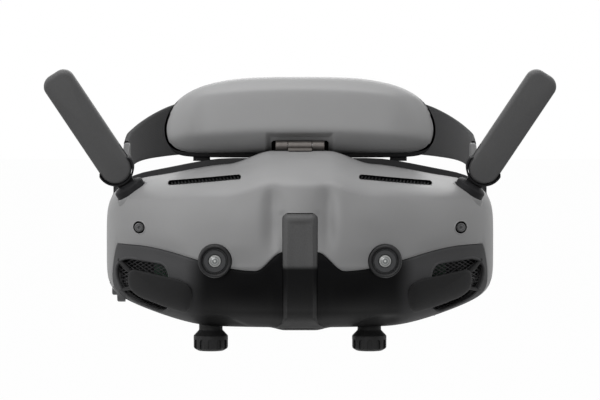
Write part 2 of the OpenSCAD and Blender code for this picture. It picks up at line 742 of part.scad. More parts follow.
module strap_buckle() {
    h = strap_w_rear + 1.2;
    color("#151516") translate([-9, 141 - strap_t / 2 - gap - buckle_wall, 50 - h / 2 - buckle_wall])
        difference() {
            cube([18, strap_t + 2 * gap + 2 * buckle_wall, h + 2 * buckle_wall]);
            translate([-1, buckle_wall - 0.9, buckle_wall]) cube([20, strap_t + 2 * gap + 0.9, h]);
        }
}
tab_t = 2.6;
module strap_tab() {
    color("#56575a") difference() {
        union() {
            hull() {
                translate([tab_x, -tab_y, tab_z]) rotate([0, 90, 0]) cylinder(r = 4.4, h = tab_t);
                translate([tab_x, -11.4, 28.6]) cube([tab_t, 1, 13]);
            }
            translate([tab_x + 1, -tab_y, tab_z]) rotate([0, 90, 0]) cylinder(r = tab_pin_r, h = lug_t + 2.6);
        }
    }
}
module strap_tab_left() { strap_tab(); }
module strap_tab_right() { mirror([1, 0, 0]) strap_tab(); }

front_shell();
lower_shell();
centre_spine();
mask_frame();
face_foam();
eye_plate();
vent_grilles();
intake_meshes();
intake_panel_left();
intake_panel_right();
camera_bezels();
camera_modules();
camera_glasses();
front_screws();
guide_rods();
inner_frame();
main_board();
heat_sink();
fan_housing();
fan_rotor();
carriage_left();
carriage_right();
barrel_left();
barrel_right();
eye_lens_left();
eye_lens_right();
display_left();
display_right();
focus_knob_left();
focus_knob_right();
antenna_base_left();
antenna_base_right();
antenna_blade_left();
antenna_blade_right();
antenna_board_left();
antenna_board_right();
hinge_bracket();
hinge_pin();
pad_front_shell();
pad_rear_shell();
forehead_foam();
battery_cells();
battery_board();
power_button();
strap_tab_left();
strap_tab_right();
strap();
strap_buckle();
five_way_button();
back_button();
link_button();
usb_socket();
card_socket();
face_sensor();
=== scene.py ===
import math

import bmesh
import bpy
import numpy as np
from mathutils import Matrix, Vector


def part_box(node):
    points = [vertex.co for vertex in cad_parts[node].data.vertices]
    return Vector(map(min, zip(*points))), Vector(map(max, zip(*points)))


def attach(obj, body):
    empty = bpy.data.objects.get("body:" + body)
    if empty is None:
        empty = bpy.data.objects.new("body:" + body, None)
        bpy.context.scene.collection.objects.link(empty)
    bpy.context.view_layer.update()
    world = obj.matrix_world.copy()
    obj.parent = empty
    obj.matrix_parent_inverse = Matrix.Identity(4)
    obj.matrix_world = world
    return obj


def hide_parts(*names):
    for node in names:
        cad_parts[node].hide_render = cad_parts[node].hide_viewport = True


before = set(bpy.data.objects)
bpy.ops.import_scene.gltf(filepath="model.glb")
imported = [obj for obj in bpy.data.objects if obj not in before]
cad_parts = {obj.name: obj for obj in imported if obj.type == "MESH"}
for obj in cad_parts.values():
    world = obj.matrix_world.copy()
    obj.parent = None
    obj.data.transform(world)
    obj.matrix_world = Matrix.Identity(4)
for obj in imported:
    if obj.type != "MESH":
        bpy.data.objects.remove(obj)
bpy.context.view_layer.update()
MM = 0.001

# The camera stands a little over a metre in front of the goggles, at the eye line and two degrees up, with
# a long lens. The floor is pale and lies below the goggles, which a head would hold, so their shadow falls
# clear of them.
scene = bpy.context.scene
scene.view_settings.view_transform = "Standard"
VIEW_CENTRE = np.array([0.0, -70.0, 20.0]) * MM
VIEW_DISTANCE = 1.15
VIEW_UP = math.radians(2.0)
VIEW_WIDTH = 0.24
camera_data = bpy.data.cameras.new("view")
camera_data.sensor_width = 36
camera_data.lens = camera_data.sensor_width * VIEW_DISTANCE / VIEW_WIDTH
camera = bpy.data.objects.new("view", camera_data)
camera.location = VIEW_CENTRE + VIEW_DISTANCE * np.array([0, -math.cos(VIEW_UP), math.sin(VIEW_UP)])
camera.rotation_euler = (math.pi / 2 - VIEW_UP, 0, 0)
scene.collection.objects.link(camera)
scene.camera = camera


class Num:
    """A shader socket that carries a number. Python's operators on it add Math nodes."""

    def __init__(self, mat, socket):
        self.mat = mat
        self.socket = socket

    def math(self, operation, a, b=None):
        sockets = {0: a} if b is None else {0: a, 1: b}
        return self.mat.node("ShaderNodeMath", {"operation": operation}, sockets)

    def __add__(self, other):
        return self.math("ADD", self, other)

    def __sub__(self, other):
        return self.math("SUBTRACT", self, other)

    def __rsub__(self, other):
        return self.math("SUBTRACT", other, self)

    def __mul__(self, other):
        return self.math("MULTIPLY", self, other)

    def __truediv__(self, other):
        return self.math("DIVIDE", self, other)

    def __abs__(self):
        return self.math("ABSOLUTE", self)

    def step(self, low, high):
        """Smooth step from 0 at low to 1 at high."""
        return self.mat.node("ShaderNodeMapRange", {"interpolation_type": "SMOOTHSTEP"},
                             {0: self, 1: low, 2: high, 3: 0.0, 4: 1.0})

    __radd__ = __add__
    __rmul__ = __mul__


class Finish:
    """A material under construction: node() adds any node, surface() closes it with a Principled shader."""

    def __init__(self, name):
        self.material = bpy.data.materials.new(name)
        self.material.use_nodes = True
        self.tree = self.material.node_tree
        self.shader = self.tree.nodes["Principled BSDF"]

    def node(self, kind, settings, sockets, out=0):
        made = self.tree.nodes.new(kind)
        for key, value in settings.items():
            if key == "stops":
                for i, (place, colour) in enumerate(value):
                    stop = made.color_ramp.elements[i] if i < 2 else made.color_ramp.elements.new(place)
                    stop.position = place
                    stop.color = (*colour, 1)
            else:
                setattr(made, key, value)
        for key, value in sockets.items():
            target = made.inputs[key]
            if isinstance(value, Num):
                self.tree.links.new(value.socket, target)
            elif value is not None:
                target.default_value = value
        return Num(self, made.outputs[out])

    def place(self):
        return self.node("ShaderNodeTexCoord", {}, {}, "Object")

    def axes(self, vector=None):
        split = self.node("ShaderNodeSeparateXYZ", {}, {0: vector or self.place()})
        outputs = split.socket.node.outputs
        return [Num(self, outputs[i]) for i in range(3)]

    def noise(self, size_mm, detail=2.0, roughness=0.5, vector=None):
        """Cloudy noise from 0 to 1 with lumps about size_mm across."""
        return self.node("ShaderNodeTexNoise", {},
                         {"Vector": vector or self.place(), "Scale": 1 / (size_mm * MM), "Detail": detail,
                          "Roughness": roughness})

    def cells(self, size_mm, vector=None):
        """Distance to the nearest of scattered points about size_mm apart."""
        return self.node("ShaderNodeTexVoronoi", {},
                         {"Vector": vector or self.place(), "Scale": 1 / (size_mm * MM)}, "Distance")

    def mix(self, share, dark, light):
        rgba = [(*c, 1) if isinstance(c, tuple) else c for c in (dark, light)]
        made = self.node("ShaderNodeMix", {"data_type": "RGBA"}, {0: share, 6: rgba[0], 7: rgba[1]}, 2)
        return made

    def bump(self, height, depth_mm, strength=1.0):
        return self.node("ShaderNodeBump", {},
                         {"Strength": strength, "Distance": depth_mm * MM, "Height": height})

    def clouded(self, lump_mm, dark, light, rough, spread, fine_mm, **sockets):
        """Closes the material with a colour that clouds between two tones and a finely varied roughness."""
        return self.surface(Base_Color=self.mix(self.noise(lump_mm), dark, light),
                            Roughness=rough + spread * self.noise(fine_mm), **sockets)

    def surface(self, **sockets):
        for key, value in sockets.items():
            target = self.shader.inputs[key.replace("_", " ")]
            if isinstance(value, Num):
                self.tree.links.new(value.socket, target)
            elif isinstance(value, tuple):
                target.default_value = (*value, 1)
            else:
                target.default_value = value
        return self.material


def pale_sheet(name, colour):
    """A plain matte backdrop finish that the camera, and what gloss or glass shows of it, sees as white."""
    made = Finish(name)
    tree = made.tree
    made.surface(Base_Color=colour, Roughness=0.9)
    rays = made.node("ShaderNodeLightPath", {}, {})
    outs = rays.socket.node.outputs
    seen = Num(made, outs["Is Camera Ray"])
    for kind in ("Is Glossy Ray", "Is Transmission Ray"):
        seen = seen.math("MAXIMUM", seen, Num(made, outs[kind]))
    white = tree.nodes.new("ShaderNodeEmission")
    white.inputs["Strength"].default_value = 1.0
    both = tree.nodes.new("ShaderNodeMixShader")
    tree.links.new((seen * 0.985).socket, both.inputs[0])
    tree.links.new(made.shader.outputs[0], both.inputs[1])
    tree.links.new(white.outputs[0], both.inputs[2])
    tree.links.new(both.outputs[0], tree.nodes["Material Output"].inputs["Surface"])
    return made.material


FLOOR_Z = -0.13
floor_mesh = bpy.data.meshes.new("floor")
floor_mesh.from_pydata([(-8, -8, FLOOR_Z), (8, -8, FLOOR_Z), (8, 8, FLOOR_Z), (-8, 8, FLOOR_Z)], [],
                       [(0, 1, 2, 3)])
floor_mesh.materials.append(pale_sheet("pale_floor", (0.3, 0.3, 0.3)))
floor = bpy.data.objects.new("floor", floor_mesh)
scene.collection.objects.link(floor)

world = bpy.data.worlds.new("studio")
world.use_nodes = True
scene.world = world
sky = world.node_tree
sky_background = sky.nodes["Background"]
sky_paths = sky.nodes.new("ShaderNodeLightPath")
sky_seen = sky.nodes.new("ShaderNodeMath")
sky_seen.operation = "MULTIPLY_ADD"
sky_views = sky_paths.outputs["Is Camera Ray"]
for kind in ("Is Glossy Ray", "Is Transmission Ray"):
    either = sky.nodes.new("ShaderNodeMath")
    either.operation = "MAXIMUM"
    sky.links.new(sky_views, either.inputs[0])
    sky.links.new(sky_paths.outputs[kind], either.inputs[1])
    sky_views = either.outputs[0]
sky.links.new(sky_views, sky_seen.inputs[0])
SKY_LEVEL = 0.30
sky_seen.inputs[1].default_value = 1 - SKY_LEVEL
sky_seen.inputs[2].default_value = SKY_LEVEL
sky.links.new(sky_seen.outputs[0], sky_background.inputs["Strength"])
sky_background.inputs["Color"].default_value = (1, 1, 1, 1)


def softbox(name, place, aim, width, height, watts):
    """A rectangular studio lamp at place, turned towards aim."""
    data = bpy.data.lights.new(name, "AREA")
    data.shape = "RECTANGLE"
    data.size = width
    data.size_y = height
    data.energy = watts
    lamp = bpy.data.objects.new(name, data)
    lamp.location = place
    lamp.rotation_euler = (Vector(aim) - Vector(place)).to_track_quat("-Z", "Y").to_euler()
    scene.collection.objects.link(lamp)


softbox("overhead", (-0.15, -0.25, 1.1), (0, -0.05, 0), 1.3, 0.9, 9.5)
softbox("front_fill", (-0.55, -1.6, 0.55), (0, -0.05, 0), 0.9, 0.7, 7.0)
softbox("left_strip", (-1.1, -0.35, 0.35), (0, -0.05, 0), 0.25, 0.9, 3.2)
softbox("right_strip", (1.1, -0.15, 0.45), (0, -0.05, 0), 0.2, 0.8, 1.6)
softbox("rear_rim", (0.2, 1.2, 0.7), (0, 0, 0), 1.0, 0.5, 3.0)

# The front shell is one moulding of grey polycarbonate with a fine spark-eroded grain. It wraps from the
# brow, over the top and round to the rear rim, and is clipped to the dark lower shell along a curved seam.
shell_low, shell_high = (np.array(c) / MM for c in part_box("front_shell"))
HALF_W = shell_high[0]
PEAK = shell_high[2] - 0.1
RIM_Y = 46.0
RIM_SWEEP = 22.0
DEPTH = -shell_low[1] - RIM_Y
SHOULDER = 30.4
BELLY = 32.0
WALL = 1.8


def ease(low, high, x):
    """Smooth step: 3 t squared less 2 t cubed, with t the clipped share of the way from low to high."""
    t = np.clip((x - low) / (high - low), 0, 1)
    return t * t * (3 - 2 * t)


def partner(s, n):
    """The other coordinate of a superellipse of squareness n, (1 - |s|^n)^(1/n)."""
    return np.maximum(0, 1 - np.minimum(1, np.abs(s)) ** n) ** (1 / n)


def hump(x, centre, width):
    """Bell of height 1: exp(-((x - centre) / width)^2)."""
    return np.exp(-(((x - centre) / width) ** 2))


def top_z(x):
    """Height of the top: shoulder height, then two smooth steps up to the middle peak."""
    x = np.abs(x)
    return SHOULDER + (PEAK - SHOULDER) * (0.4 * ease(60, 27, x) + 0.6 * ease(30, 11, x))


def bottom_z(x):
    """Depth of the underside: flat over the lobes, rising towards the sides, lower at the nose."""
    x = np.abs(x)
    return -BELLY + 6 * ease(34, 76, x) - 1.2 * ease(13, 6, x)


def rim_y(x):
    """Place of the rear rim: a parabola that comes back towards the head at the sides."""
    return -RIM_Y + RIM_SWEEP * (x / HALF_W) ** 2


def seam_z(x):
    """Height of the seam: a gentle rise to the sides, a hook down at the ends and one up to the spine."""
    x = np.abs(x)
    return (-6.7 + 8.7 * ease(17.5, 66, x) + 7.5 * ease(17.5, 6.6, x) - 25 * ease(73.5, 79.5, x))


def brow(v):
    """Depth share of the upper face: a nearly upright face up to the brow line, then the sloping top."""
    line = 0.66
    t = np.clip((v - line) / (1 - line), 0, 1)
    sharp = np.where(v < line, 1 - 0.045 * (v / line) ** 2, 0.955 * (1 - t ** 1.65) ** (1 / 1.65))
    soft = partner(v, 3.2)
    return 0.72 * sharp + 0.28 * soft


def relief(x, z, y_share):
    """How far the face stands in or out of the plain form, in mm, as a sum of bells and steps in front
    view."""
    ax = np.abs(x)
    front = ease(0.25, 0.7, y_share)
    valley = -2.1 * hump(ax, 10.5, 3.4) * ease(-4, 12, z) * ease(31, 19, z)
    spine_rise = 0.5 * hump(ax, 0, 6) * ease(4, 16, z)
    cheek = 1.1 * hump(ax, 27, 9) * ease(-6, 4, z) * ease(27, 12, z)
    waist = -1.2 * hump(z, seam_z(x) - 1.5, 4.5) * ease(40, 52, ax)
    lobe = 2.6 * hump(ax, 24, 11) * hump(z, -17, 9) * ease(-3, -9, z)
    tuck = -1.6 * hump(ax, 9.5, 3.0) * ease(-2, -8, z)
    pocket = -0.9 * hump(ax, 60, 13) * hump(z, -14, 10)
    lean = -np.clip(-0.38 * (z + 5), 0, 7) * ease(46, 37, ax)
    hem = -2.2 * ease(0, 1.6, -25.4 - 6.2 * ease(32, 14, ax) - z) * ease(44, 34, ax) * ease(12, 16, ax)
    gutter = -0.5 * hump(z, seam_z(x), 0.55) * ease(7, 9, ax)
    well = -0.6 * hump(ax, 6.9, 0.8) * ease(17, 15.4, z)
    return (valley + spine_rise + cheek + waist + lobe + tuck + pocket + lean + hem + gutter + well) * front


def casing(turn, v, off):
    """Casing surface: turn (-1 to 1) runs round it from rim to rim and v from the underside to the top.
    Width and depth are superellipses of the turn, drawn in as v nears 1, and relief pushes the face along
    Y."""
    lam = turn * np.pi / 2
    width = partner(v, 5)
    depth = np.where(v > 0, brow(np.abs(v)), partner(v, 2.8))
    across = np.sign(lam) * np.abs(np.sin(lam)) ** (2 / 2.7)
    along = np.abs(np.cos(lam)) ** (2 / 2.7)
    x = (HALF_W - off) * across * width
    z = np.where(v > 0, v * (top_z(x) - off), -v * (bottom_z(x) + off))
    y = rim_y(x) - (DEPTH - off) * along * depth
    return np.stack([x, y - relief(x, z, along * depth), z], -1)


def face_at(x, z, off=0.0):
    """Point of the casing's front at x and z: the same formula as casing, solved for the turn and the
    row."""
    x, z = np.broadcast_arrays(np.asarray(x, float), np.asarray(z, float))
    v = np.clip(np.where(z > 0, z / (top_z(x) - off), -z / (bottom_z(x) + off)), -1, 1)
    sine = np.clip(np.abs(x) / ((HALF_W - off) * partner(v, 5) + 1e-9), 0, 1) ** 1.35
    along = (1 - sine ** 2) ** (1 / 2.7)
    depth = np.where(v > 0, brow(np.abs(v)), partner(v, 2.8))
    y = rim_y(x) - (DEPTH - off) * along * depth - relief(x, z, along * depth)
    return np.stack([x, y, z], -1)


def seam_row(turn):
    """Row value v at which the casing meets the seam."""
    x = HALF_W * np.sign(turn) * np.abs(np.sin(turn * np.pi / 2)) ** (2 / 2.7)
    s = seam_z(x)
    return np.where(s > 0, s / top_z(x), -s / bottom_z(x))


def half_grid(cols, rows, off, side, shift=0.0):
    """Grid of points above (side 1) or below (side -1) the seam, rows first: finest at the seam, then in
    width."""
    share = np.linspace(-1, 1, cols + 1)[None, :]
    turn = np.sign(share) * np.abs(share) ** 1.35
    t = np.linspace(0, 1, rows + 1)[:, None]
    start = seam_row(turn) + shift
    level = 0.9
    near = start + (side * level - start) * np.minimum(1, t * 2) ** 1.5
    edge = partner(level, 5)
    share = edge + (0.02 - edge) * np.maximum(0, t * 2 - 1)
    far = side * partner(share, 5)
    v = np.where(t < 0.5, near, far)
    return casing(turn + 0 * v, v, off)


def grid_faces(rows, cols, start=0, flip=False):
    """Quads of a grid of rows by cols cells whose points are stored row by row."""
    j, i = np.meshgrid(np.arange(rows), np.arange(cols), indexing="ij")
    a = start + j * (cols + 1) + i
    quads = np.stack([a, a + 1, a + cols + 2, a + cols + 1], -1).reshape(-1, 4)
    return quads[:, ::-1] if flip else quads


def put_mesh(name, points, faces, material, sharp=35, merge=0.0):
    """Makes a piece from points in mm and quads or triangles, smooth shaded but for edges over sharp
    degrees."""
    data = bpy.data.meshes.new(name)
    data.from_pydata((np.asarray(points, float).reshape(-1, 3) * MM).tolist(), [], [list(f) for f in faces])
    if merge:
        work = bmesh.new()
        work.from_mesh(data)
        bmesh.ops.remove_doubles(work, verts=work.verts, dist=merge * MM)
        bmesh.ops.dissolve_degenerate(work, edges=work.edges, dist=1e-7)
        bmesh.ops.recalc_face_normals(work, faces=work.faces)
        work.to_mesh(data)
        work.free()
    data.update()
    data.shade_smooth()
    if sharp:
        data.set_sharp_from_angle(angle=math.radians(sharp))
    if material:
        data.materials.append(material)
    piece = bpy.data.objects.new(name, data)
    scene.collection.objects.link(piece)
    return piece


def turn_outward(piece):
    """Turns the faces of a closed piece to look outwards."""
    work = bmesh.new()
    work.from_mesh(piece.data)
    bmesh.ops.recalc_face_normals(work, faces=work.faces)
    work.to_mesh(piece.data)
    work.free()


def closed_skin(name, outer, inner, material, sharp=35):
    """Joins two equal grids along their four edges into one closed wall."""
    rows, cols = outer.shape[0] - 1, outer.shape[1] - 1
    count = outer.shape[0] * outer.shape[1]
    index = np.arange(count).reshape(rows + 1, cols + 1)
    loop = np.concatenate([index[0, :-1], index[:-1, -1], index[-1, :0:-1], index[:0:-1, 0]])
    after = np.roll(loop, -1)
    border = np.stack([loop, loop + count, after + count, after], -1)
    faces = np.concatenate([grid_faces(rows, cols), grid_faces(rows, cols, count, True), border])
    points = np.concatenate([outer.reshape(-1, 3), inner.reshape(-1, 3)])
    return put_mesh(name, points, faces, material, sharp, merge=0.004)


def bake_modifiers(piece, sharp=35):
    """Applies a piece's modifiers to its mesh."""
    bpy.context.view_layer.update()
    shaped = piece.evaluated_get(bpy.context.evaluated_depsgraph_get())
    data = bpy.data.meshes.new_from_object(shaped)
    piece.modifiers.clear()
    piece.data = data
    data.shade_smooth()
    data.set_sharp_from_angle(angle=math.radians(sharp))


def cut(piece, cutters, operation="DIFFERENCE", sharp=35):
    """Cuts closed tools out of a piece, one after another, and removes the tools."""
    for tool in cutters:
        step = piece.modifiers.new("cut", "BOOLEAN")
        step.operation = operation
        step.solver = "MANIFOLD"
        step.object = tool
    bake_modifiers(piece, sharp)
    for tool in cutters:
        bpy.data.objects.remove(tool)


def cutter(points, faces):
    """A closed tool that cut() uses and then removes."""
    return put_mesh("tool", points, faces, None, 0, merge=1e-4)


def carried(outline, axis, start, end):
    """Closed tool: a flat outline, in mm, carried along an axis (0 to 2 for X to Z) from start to end."""
    outline = np.asarray(outline, float)
    n = len(outline)
    i = np.arange(n)
    sides = [[a, b, n + b, n + a] for a, b in zip(i, np.roll(i, -1))]
    rings = [np.insert(outline, axis, place, axis=1) for place in (start, end)]
    return cutter(np.concatenate(rings), sides + [list(range(n))[::-1], list(range(n, 2 * n))])


def rounded(outline, radius, steps=5):
    """Rounds an outline's corners: each corner becomes a quadratic curve that starts radius away on each
    side."""
    p = np.asarray(outline, float)
    before, after = np.roll(p, 1, 0) - p, np.roll(p, -1, 0) - p
    reach = [np.minimum(radius, 0.45 * np.linalg.norm(d, axis=1))[:, None] for d in (before, after)]
    a = p + before / np.linalg.norm(before, axis=1)[:, None] * reach[0]
    b = p + after / np.linalg.norm(after, axis=1)[:, None] * reach[1]
    t = np.linspace(0, 1, steps + 1)[None, :, None]
    curve = (1 - t) ** 2 * a[:, None] + 2 * t * (1 - t) * p[:, None] + t ** 2 * b[:, None]
    return curve.reshape(-1, 2)


def on_side(outline, side):
    """The outline for the wearer's left, side 1, or its mirror image for side -1."""
    return np.asarray(outline, float)[::side] * np.array([side, 1])


def disc(x, z, radius, count=48):
    """Circle in front view."""
    a = np.linspace(0, 2 * np.pi, count, endpoint=False)
    return np.stack([x + radius * np.cos(a), z + radius * np.sin(a)], -1)


def slot(p, q, radius, count=12):
    """Stadium in front view from p to q."""
    p, q = np.asarray(p, float), np.asarray(q, float)
    lean = math.atan2(q[1] - p[1], q[0] - p[0])
    a = np.linspace(-np.pi / 2, np.pi / 2, count) + lean
    arc = radius * np.stack([np.cos(a), np.sin(a)], -1)
    return np.concatenate([q + arc, p - arc])


def moulded_grey(name, light):
    """Grey moulded plastic: fine eroded grain in the surface, faint clouding in its colour."""
    made = Finish(name)
    cloud = made.noise(14, 3).step(0.3, 0.7)
    fleck = made.noise(0.35, 2)
    dark = tuple(c * 0.93 for c in light)
    colour = made.mix(cloud * 0.5 + fleck * 0.5, dark, light)
    grain = made.cells(0.32)
    rough = 0.40 + 0.10 * made.noise(0.6) + 0.05 * cloud
    return made.surface(Base_Color=colour, Roughness=rough, Normal=made.bump(grain, 0.012, 0.5),
                        Specular_IOR_Level=0.5)


SHELL_GREY = (0.245, 0.245, 0.247)
shell_finish = moulded_grey("shell_grey", SHELL_GREY)
VENT_IN, VENT_OUT, VENT_R = (24.2, 29.6), (52.0, 26.8), 0.95
CAMERA_X, CAMERA_Z, BEZEL_R = 33.2, -2.8, 6.6
SCREW_X, SCREW_Z = 64.2, 9.2
SKIN_COLS, SKIN_ROWS = 300, 84
front_shell = closed_skin("front_shell_moulding", half_grid(SKIN_COLS, SKIN_ROWS, 0, 1, 0.004),
                          half_grid(SKIN_COLS, SKIN_ROWS, WALL, 1, 0.004), shell_finish)
vent = slot(VENT_IN, VENT_OUT, VENT_R)
tools = []
for side in (1, -1):
    tools.append(carried(on_side(vent, side), 1, -110, -50))
    tools.append(carried(on_side(disc(CAMERA_X, CAMERA_Z, BEZEL_R + 0.12), side), 1, -110, -80))
    tools.append(carried(on_side(disc(SCREW_X, SCREW_Z, 2.45), side), 1, -90, -50))

ANTENNA_LEAN, ANTENNA_TIP = 32.5, 12
ANTENNA_PIVOT = (74.5, -58.0, 32.8)


def antenna_frame(points, side=1):
    """Carries points from a folding antenna's own axes, Z along the blade, to its place at the casing's
    corner."""
    lean, tip = math.radians(ANTENNA_LEAN), math.radians(ANTENNA_TIP)
    about_y = np.array([[math.cos(lean), 0, math.sin(lean)], [0, 1, 0],
                        [-math.sin(lean), 0, math.cos(lean)]])
    about_x = np.array([[1, 0, 0], [0, math.cos(tip), -math.sin(tip)], [0, math.sin(tip), math.cos(tip)]])
    placed = np.asarray(points, float) @ (about_x @ about_y).T + np.array(ANTENNA_PIVOT)
    return placed * np.array([side, 1, 1])


def ring_quads(rings, around, closed=False):
    """Quads between neighbouring rings of around points each. Closed also joins the last ring to the first."""
    j, i = np.meshgrid(np.arange(rings if closed else rings - 1), np.arange(around), indexing="ij")
    k, l = (j + 1) % rings, (i + 1) % around
    return np.stack([j * around + i, j * around + l, k * around + l, k * around + i], -1).reshape(-1, 4)


def turned(profile, count=64, closed=False):
    """Points and quads of a profile of (radius, height) pairs turned about Z. A closed profile makes a
    ring."""
    profile = np.asarray(profile, float)
    a = np.linspace(0, 2 * np.pi, count, endpoint=False)
    r, z = profile[:, :1], profile[:, 1:]
    points = np.stack([r * np.cos(a), r * np.sin(a), z + 0 * a], -1).reshape(-1, 3)
    return points, ring_quads(len(profile), count, closed)


collar_profile = [(6.4, -20), (6.4, -12.1), (6.55, -11.7), (6.8, -11.6), (7.1, -11.7), (7.35, -12.1),
                  (7.65, -13.4),
                  (8.1, -15.2), (8.8, -17.4), (9.7, -19.6), (9.6, -20)]
for side in (1, -1):
    points, faces = turned(collar_profile, 96, True)
    collar = put_mesh(f"antenna_collar_{'left' if side > 0 else 'right'}", antenna_frame(points, side),
                      faces,
                      shell_finish, 30, merge=1e-4)
    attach(collar, "visor")
    points, faces = turned([(0, -40), (6.36, -40), (6.36, 4), (0, 4)], 96)
    tools.append(cutter(antenna_frame(points, side), faces))
SPINE_EDGE = [(5.2, 16.1), (6.9, 14.6), (6.8, -45), (-6.8, -45), (-6.9, 14.6), (-5.2, 16.1)]
tools.append(carried(rounded(SPINE_EDGE, 0.8), 1, -115, -80))
cut(front_shell, tools)
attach(front_shell, "visor")
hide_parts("front_shell")

# The lower shell is a dark satin moulding that closes the casing from the seam down. Its side panels carry
# the air intakes, and its smooth middle lobes lean back under the cameras to the knobs. The lobes' near-black
# colour, darker still towards the bottom, is painted shade.
lower_finish = Finish("lower_shell_satin_with_painted_shade")
lower_x, _, lower_z = lower_finish.axes()
flank = abs(lower_x / MM).step(36, 46)
grain = lower_finish.cells(0.32)
mottle = lower_finish.noise(9, 3)
# painted shade: the middle lobes are coloured near black, and darker still towards the bottom, where they lean
# back and face down
painted_lobe_shade = lower_finish.mix((lower_z / MM).step(-24, -6), (0.0025, 0.0025, 0.0027), (0.007, 0.007, 0.0074))
side_tone = lower_finish.mix(mottle * 0.4 + lower_finish.noise(0.4) * 0.6, (0.062, 0.062, 0.064),
                             (0.082, 0.082, 0.084))
# the flank mask gives the side panels the moulding's own dark grey and grain, and gives the lobes the painted
# shade
lower_finish.surface(Base_Color=lower_finish.mix(flank, painted_lobe_shade, side_tone),
                     Roughness=0.42 + 0.10 * lower_finish.noise(0.7) + 0.05 * flank, Specular_IOR_Level=0.03,
                     Normal=lower_finish.bump(grain * flank, 0.012, 0.5))
INTAKE = [(72.2, -4.3), (68.7, -3.1), (53.6, -4.4), (51.4, -8.4), (51.2, -22.4), (55, -25.4), (64.9, -22),
          (71, -18.6), (74.2, -12.2), (74.4, -7.3)]
lower_shell = closed_skin("lower_shell_moulding", half_grid(SKIN_COLS, SKIN_ROWS, 0, -1, -0.004),
                          half_grid(SKIN_COLS, SKIN_ROWS, WALL, -1, -0.004), lower_finish.material)
intake_hole = rounded(INTAKE, 2.6)


def side_cuts():
    """Tools for the sockets and the small buttons: a USB mouth on the left, a card slot and two keys on the
    right."""
    usb_mouth = slot((-39.7, -14.6), (-33.3, -14.6), 1.65)
    card_mouth = slot((-41.6, -14.6), (-31.4, -14.6), 0.75)
    five_way_hole, back_hole = disc(-45, -19.5, 3.4), disc(-35, -18.5, 2.3)
    return [carried(usb_mouth, 0, 60, 95)] + [carried(o, 0, -60, -95) for o in (card_mouth, five_way_hole,
                                                                                back_hole)]


tools = side_cuts()
tools.append(carried(rounded(SPINE_EDGE, 0.8), 1, -115, -70))
for side in (1, -1):
    tools.append(carried(on_side(intake_hole, side), 1, -110, -55))
    tools.append(carried(on_side(disc(CAMERA_X, CAMERA_Z, BEZEL_R + 0.12), side), 1, -110, -80))
    low, high = sorted((side * 28.2, side * 36.5))
    tools.append(carried(slot((low, -51.5), (high, -51.5), 5.4, 16), 2, -45, -24))
tools.append(carried(slot((54, -38.8), (54.01, -38.8), 1.9, 24), 2, -45, -20))
cut(lower_shell, tools)
cut(front_shell, side_cuts())
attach(lower_shell, "visor")
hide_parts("lower_shell")

# The spine is a separate grained cover strip let into the middle of both shells. It has a raised inner face
# with bevelled edges and a foot that flares out over the nose, and it clips in from the front.
SPINE_Z = np.concatenate([np.linspace(15.75, 12.4, 10), np.linspace(11.8, -26, 56),
                          np.linspace(-26.4, -31.4, 20)])
spine_half = np.interp(-SPINE_Z, [-15.75, -15.5, -14.4, 26.4, 29.0, 30.6, 31.4],
                       [5.2, 5.7, 6.45, 6.4, 8.2, 10.4, 11.8])
u = np.array([-1, -0.995, -0.97, -0.94, -0.9, -0.86, -0.82, -0.78, -0.7, -0.5, -0.25, 0, 0.25, 0.5, 0.7,
              0.78, 0.82,
              0.86, 0.9, 0.94, 0.97, 0.995, 1])
spine_x = u[None, :] * spine_half[:, None]
spine_zz = SPINE_Z[:, None] + 0 * spine_x
inset = spine_half[:, None] * (1 - np.abs(u[None, :]))
rise = 0.3 * ease(0, 0.35, inset) + 1.05 * ease(0.5, 1.45, inset) * ease(15.6, 13.9, spine_zz)
rise = rise - 0.35 * ease(1.5, 2.6, 14.6 - spine_zz) * ease(2.2, 3.2, inset) - 1.0 * ease(-26, -31.4,
                                                                                          spine_zz)
spine_front = face_at(spine_x, spine_zz)
spine_front[..., 1] -= rise
spine_rear = face_at(spine_x * (1 + 1.2 / spine_half[:, None]), spine_zz)
spine_rear[..., 1] += 1.9
spine_finish = Finish("spine_grain")
spine_z_mm = spine_finish.axes()[2] / MM
# painted shade: below about z -5 mm, where the strip turns to face forward and down, it is painted near black;
# above that it keeps its own grey
spine_tone_with_painted_shade = spine_finish.mix(spine_z_mm.step(-6.2, -4.0), (0.005, 0.005, 0.0054), (0.118, 0.118, 0.119))
spine_grain = spine_finish.cells(0.4)
spine_finish.surface(Base_Color=spine_finish.mix(spine_finish.noise(0.5) * 0.3, spine_tone_with_painted_shade,
                                                 (0.0, 0.0, 0.0)),
                     Roughness=0.44 + 0.12 * spine_finish.noise(0.8), Specular_IOR_Level=0.08,
                     Normal=spine_finish.bump(spine_grain, 0.02, 0.6))
spine = closed_skin("spine_cover", spine_front[:, ::-1], spine_rear[:, ::-1], spine_finish.material, 40)
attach(spine, "visor")
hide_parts("centre_spine")

# Each air intake holds a sheet of woven-look diamond mesh, moulded in black, a little behind the opening,
# and a rounded lip runs round the opening's edge.
MESH_RUN, WIRE = 1.25, 0.17


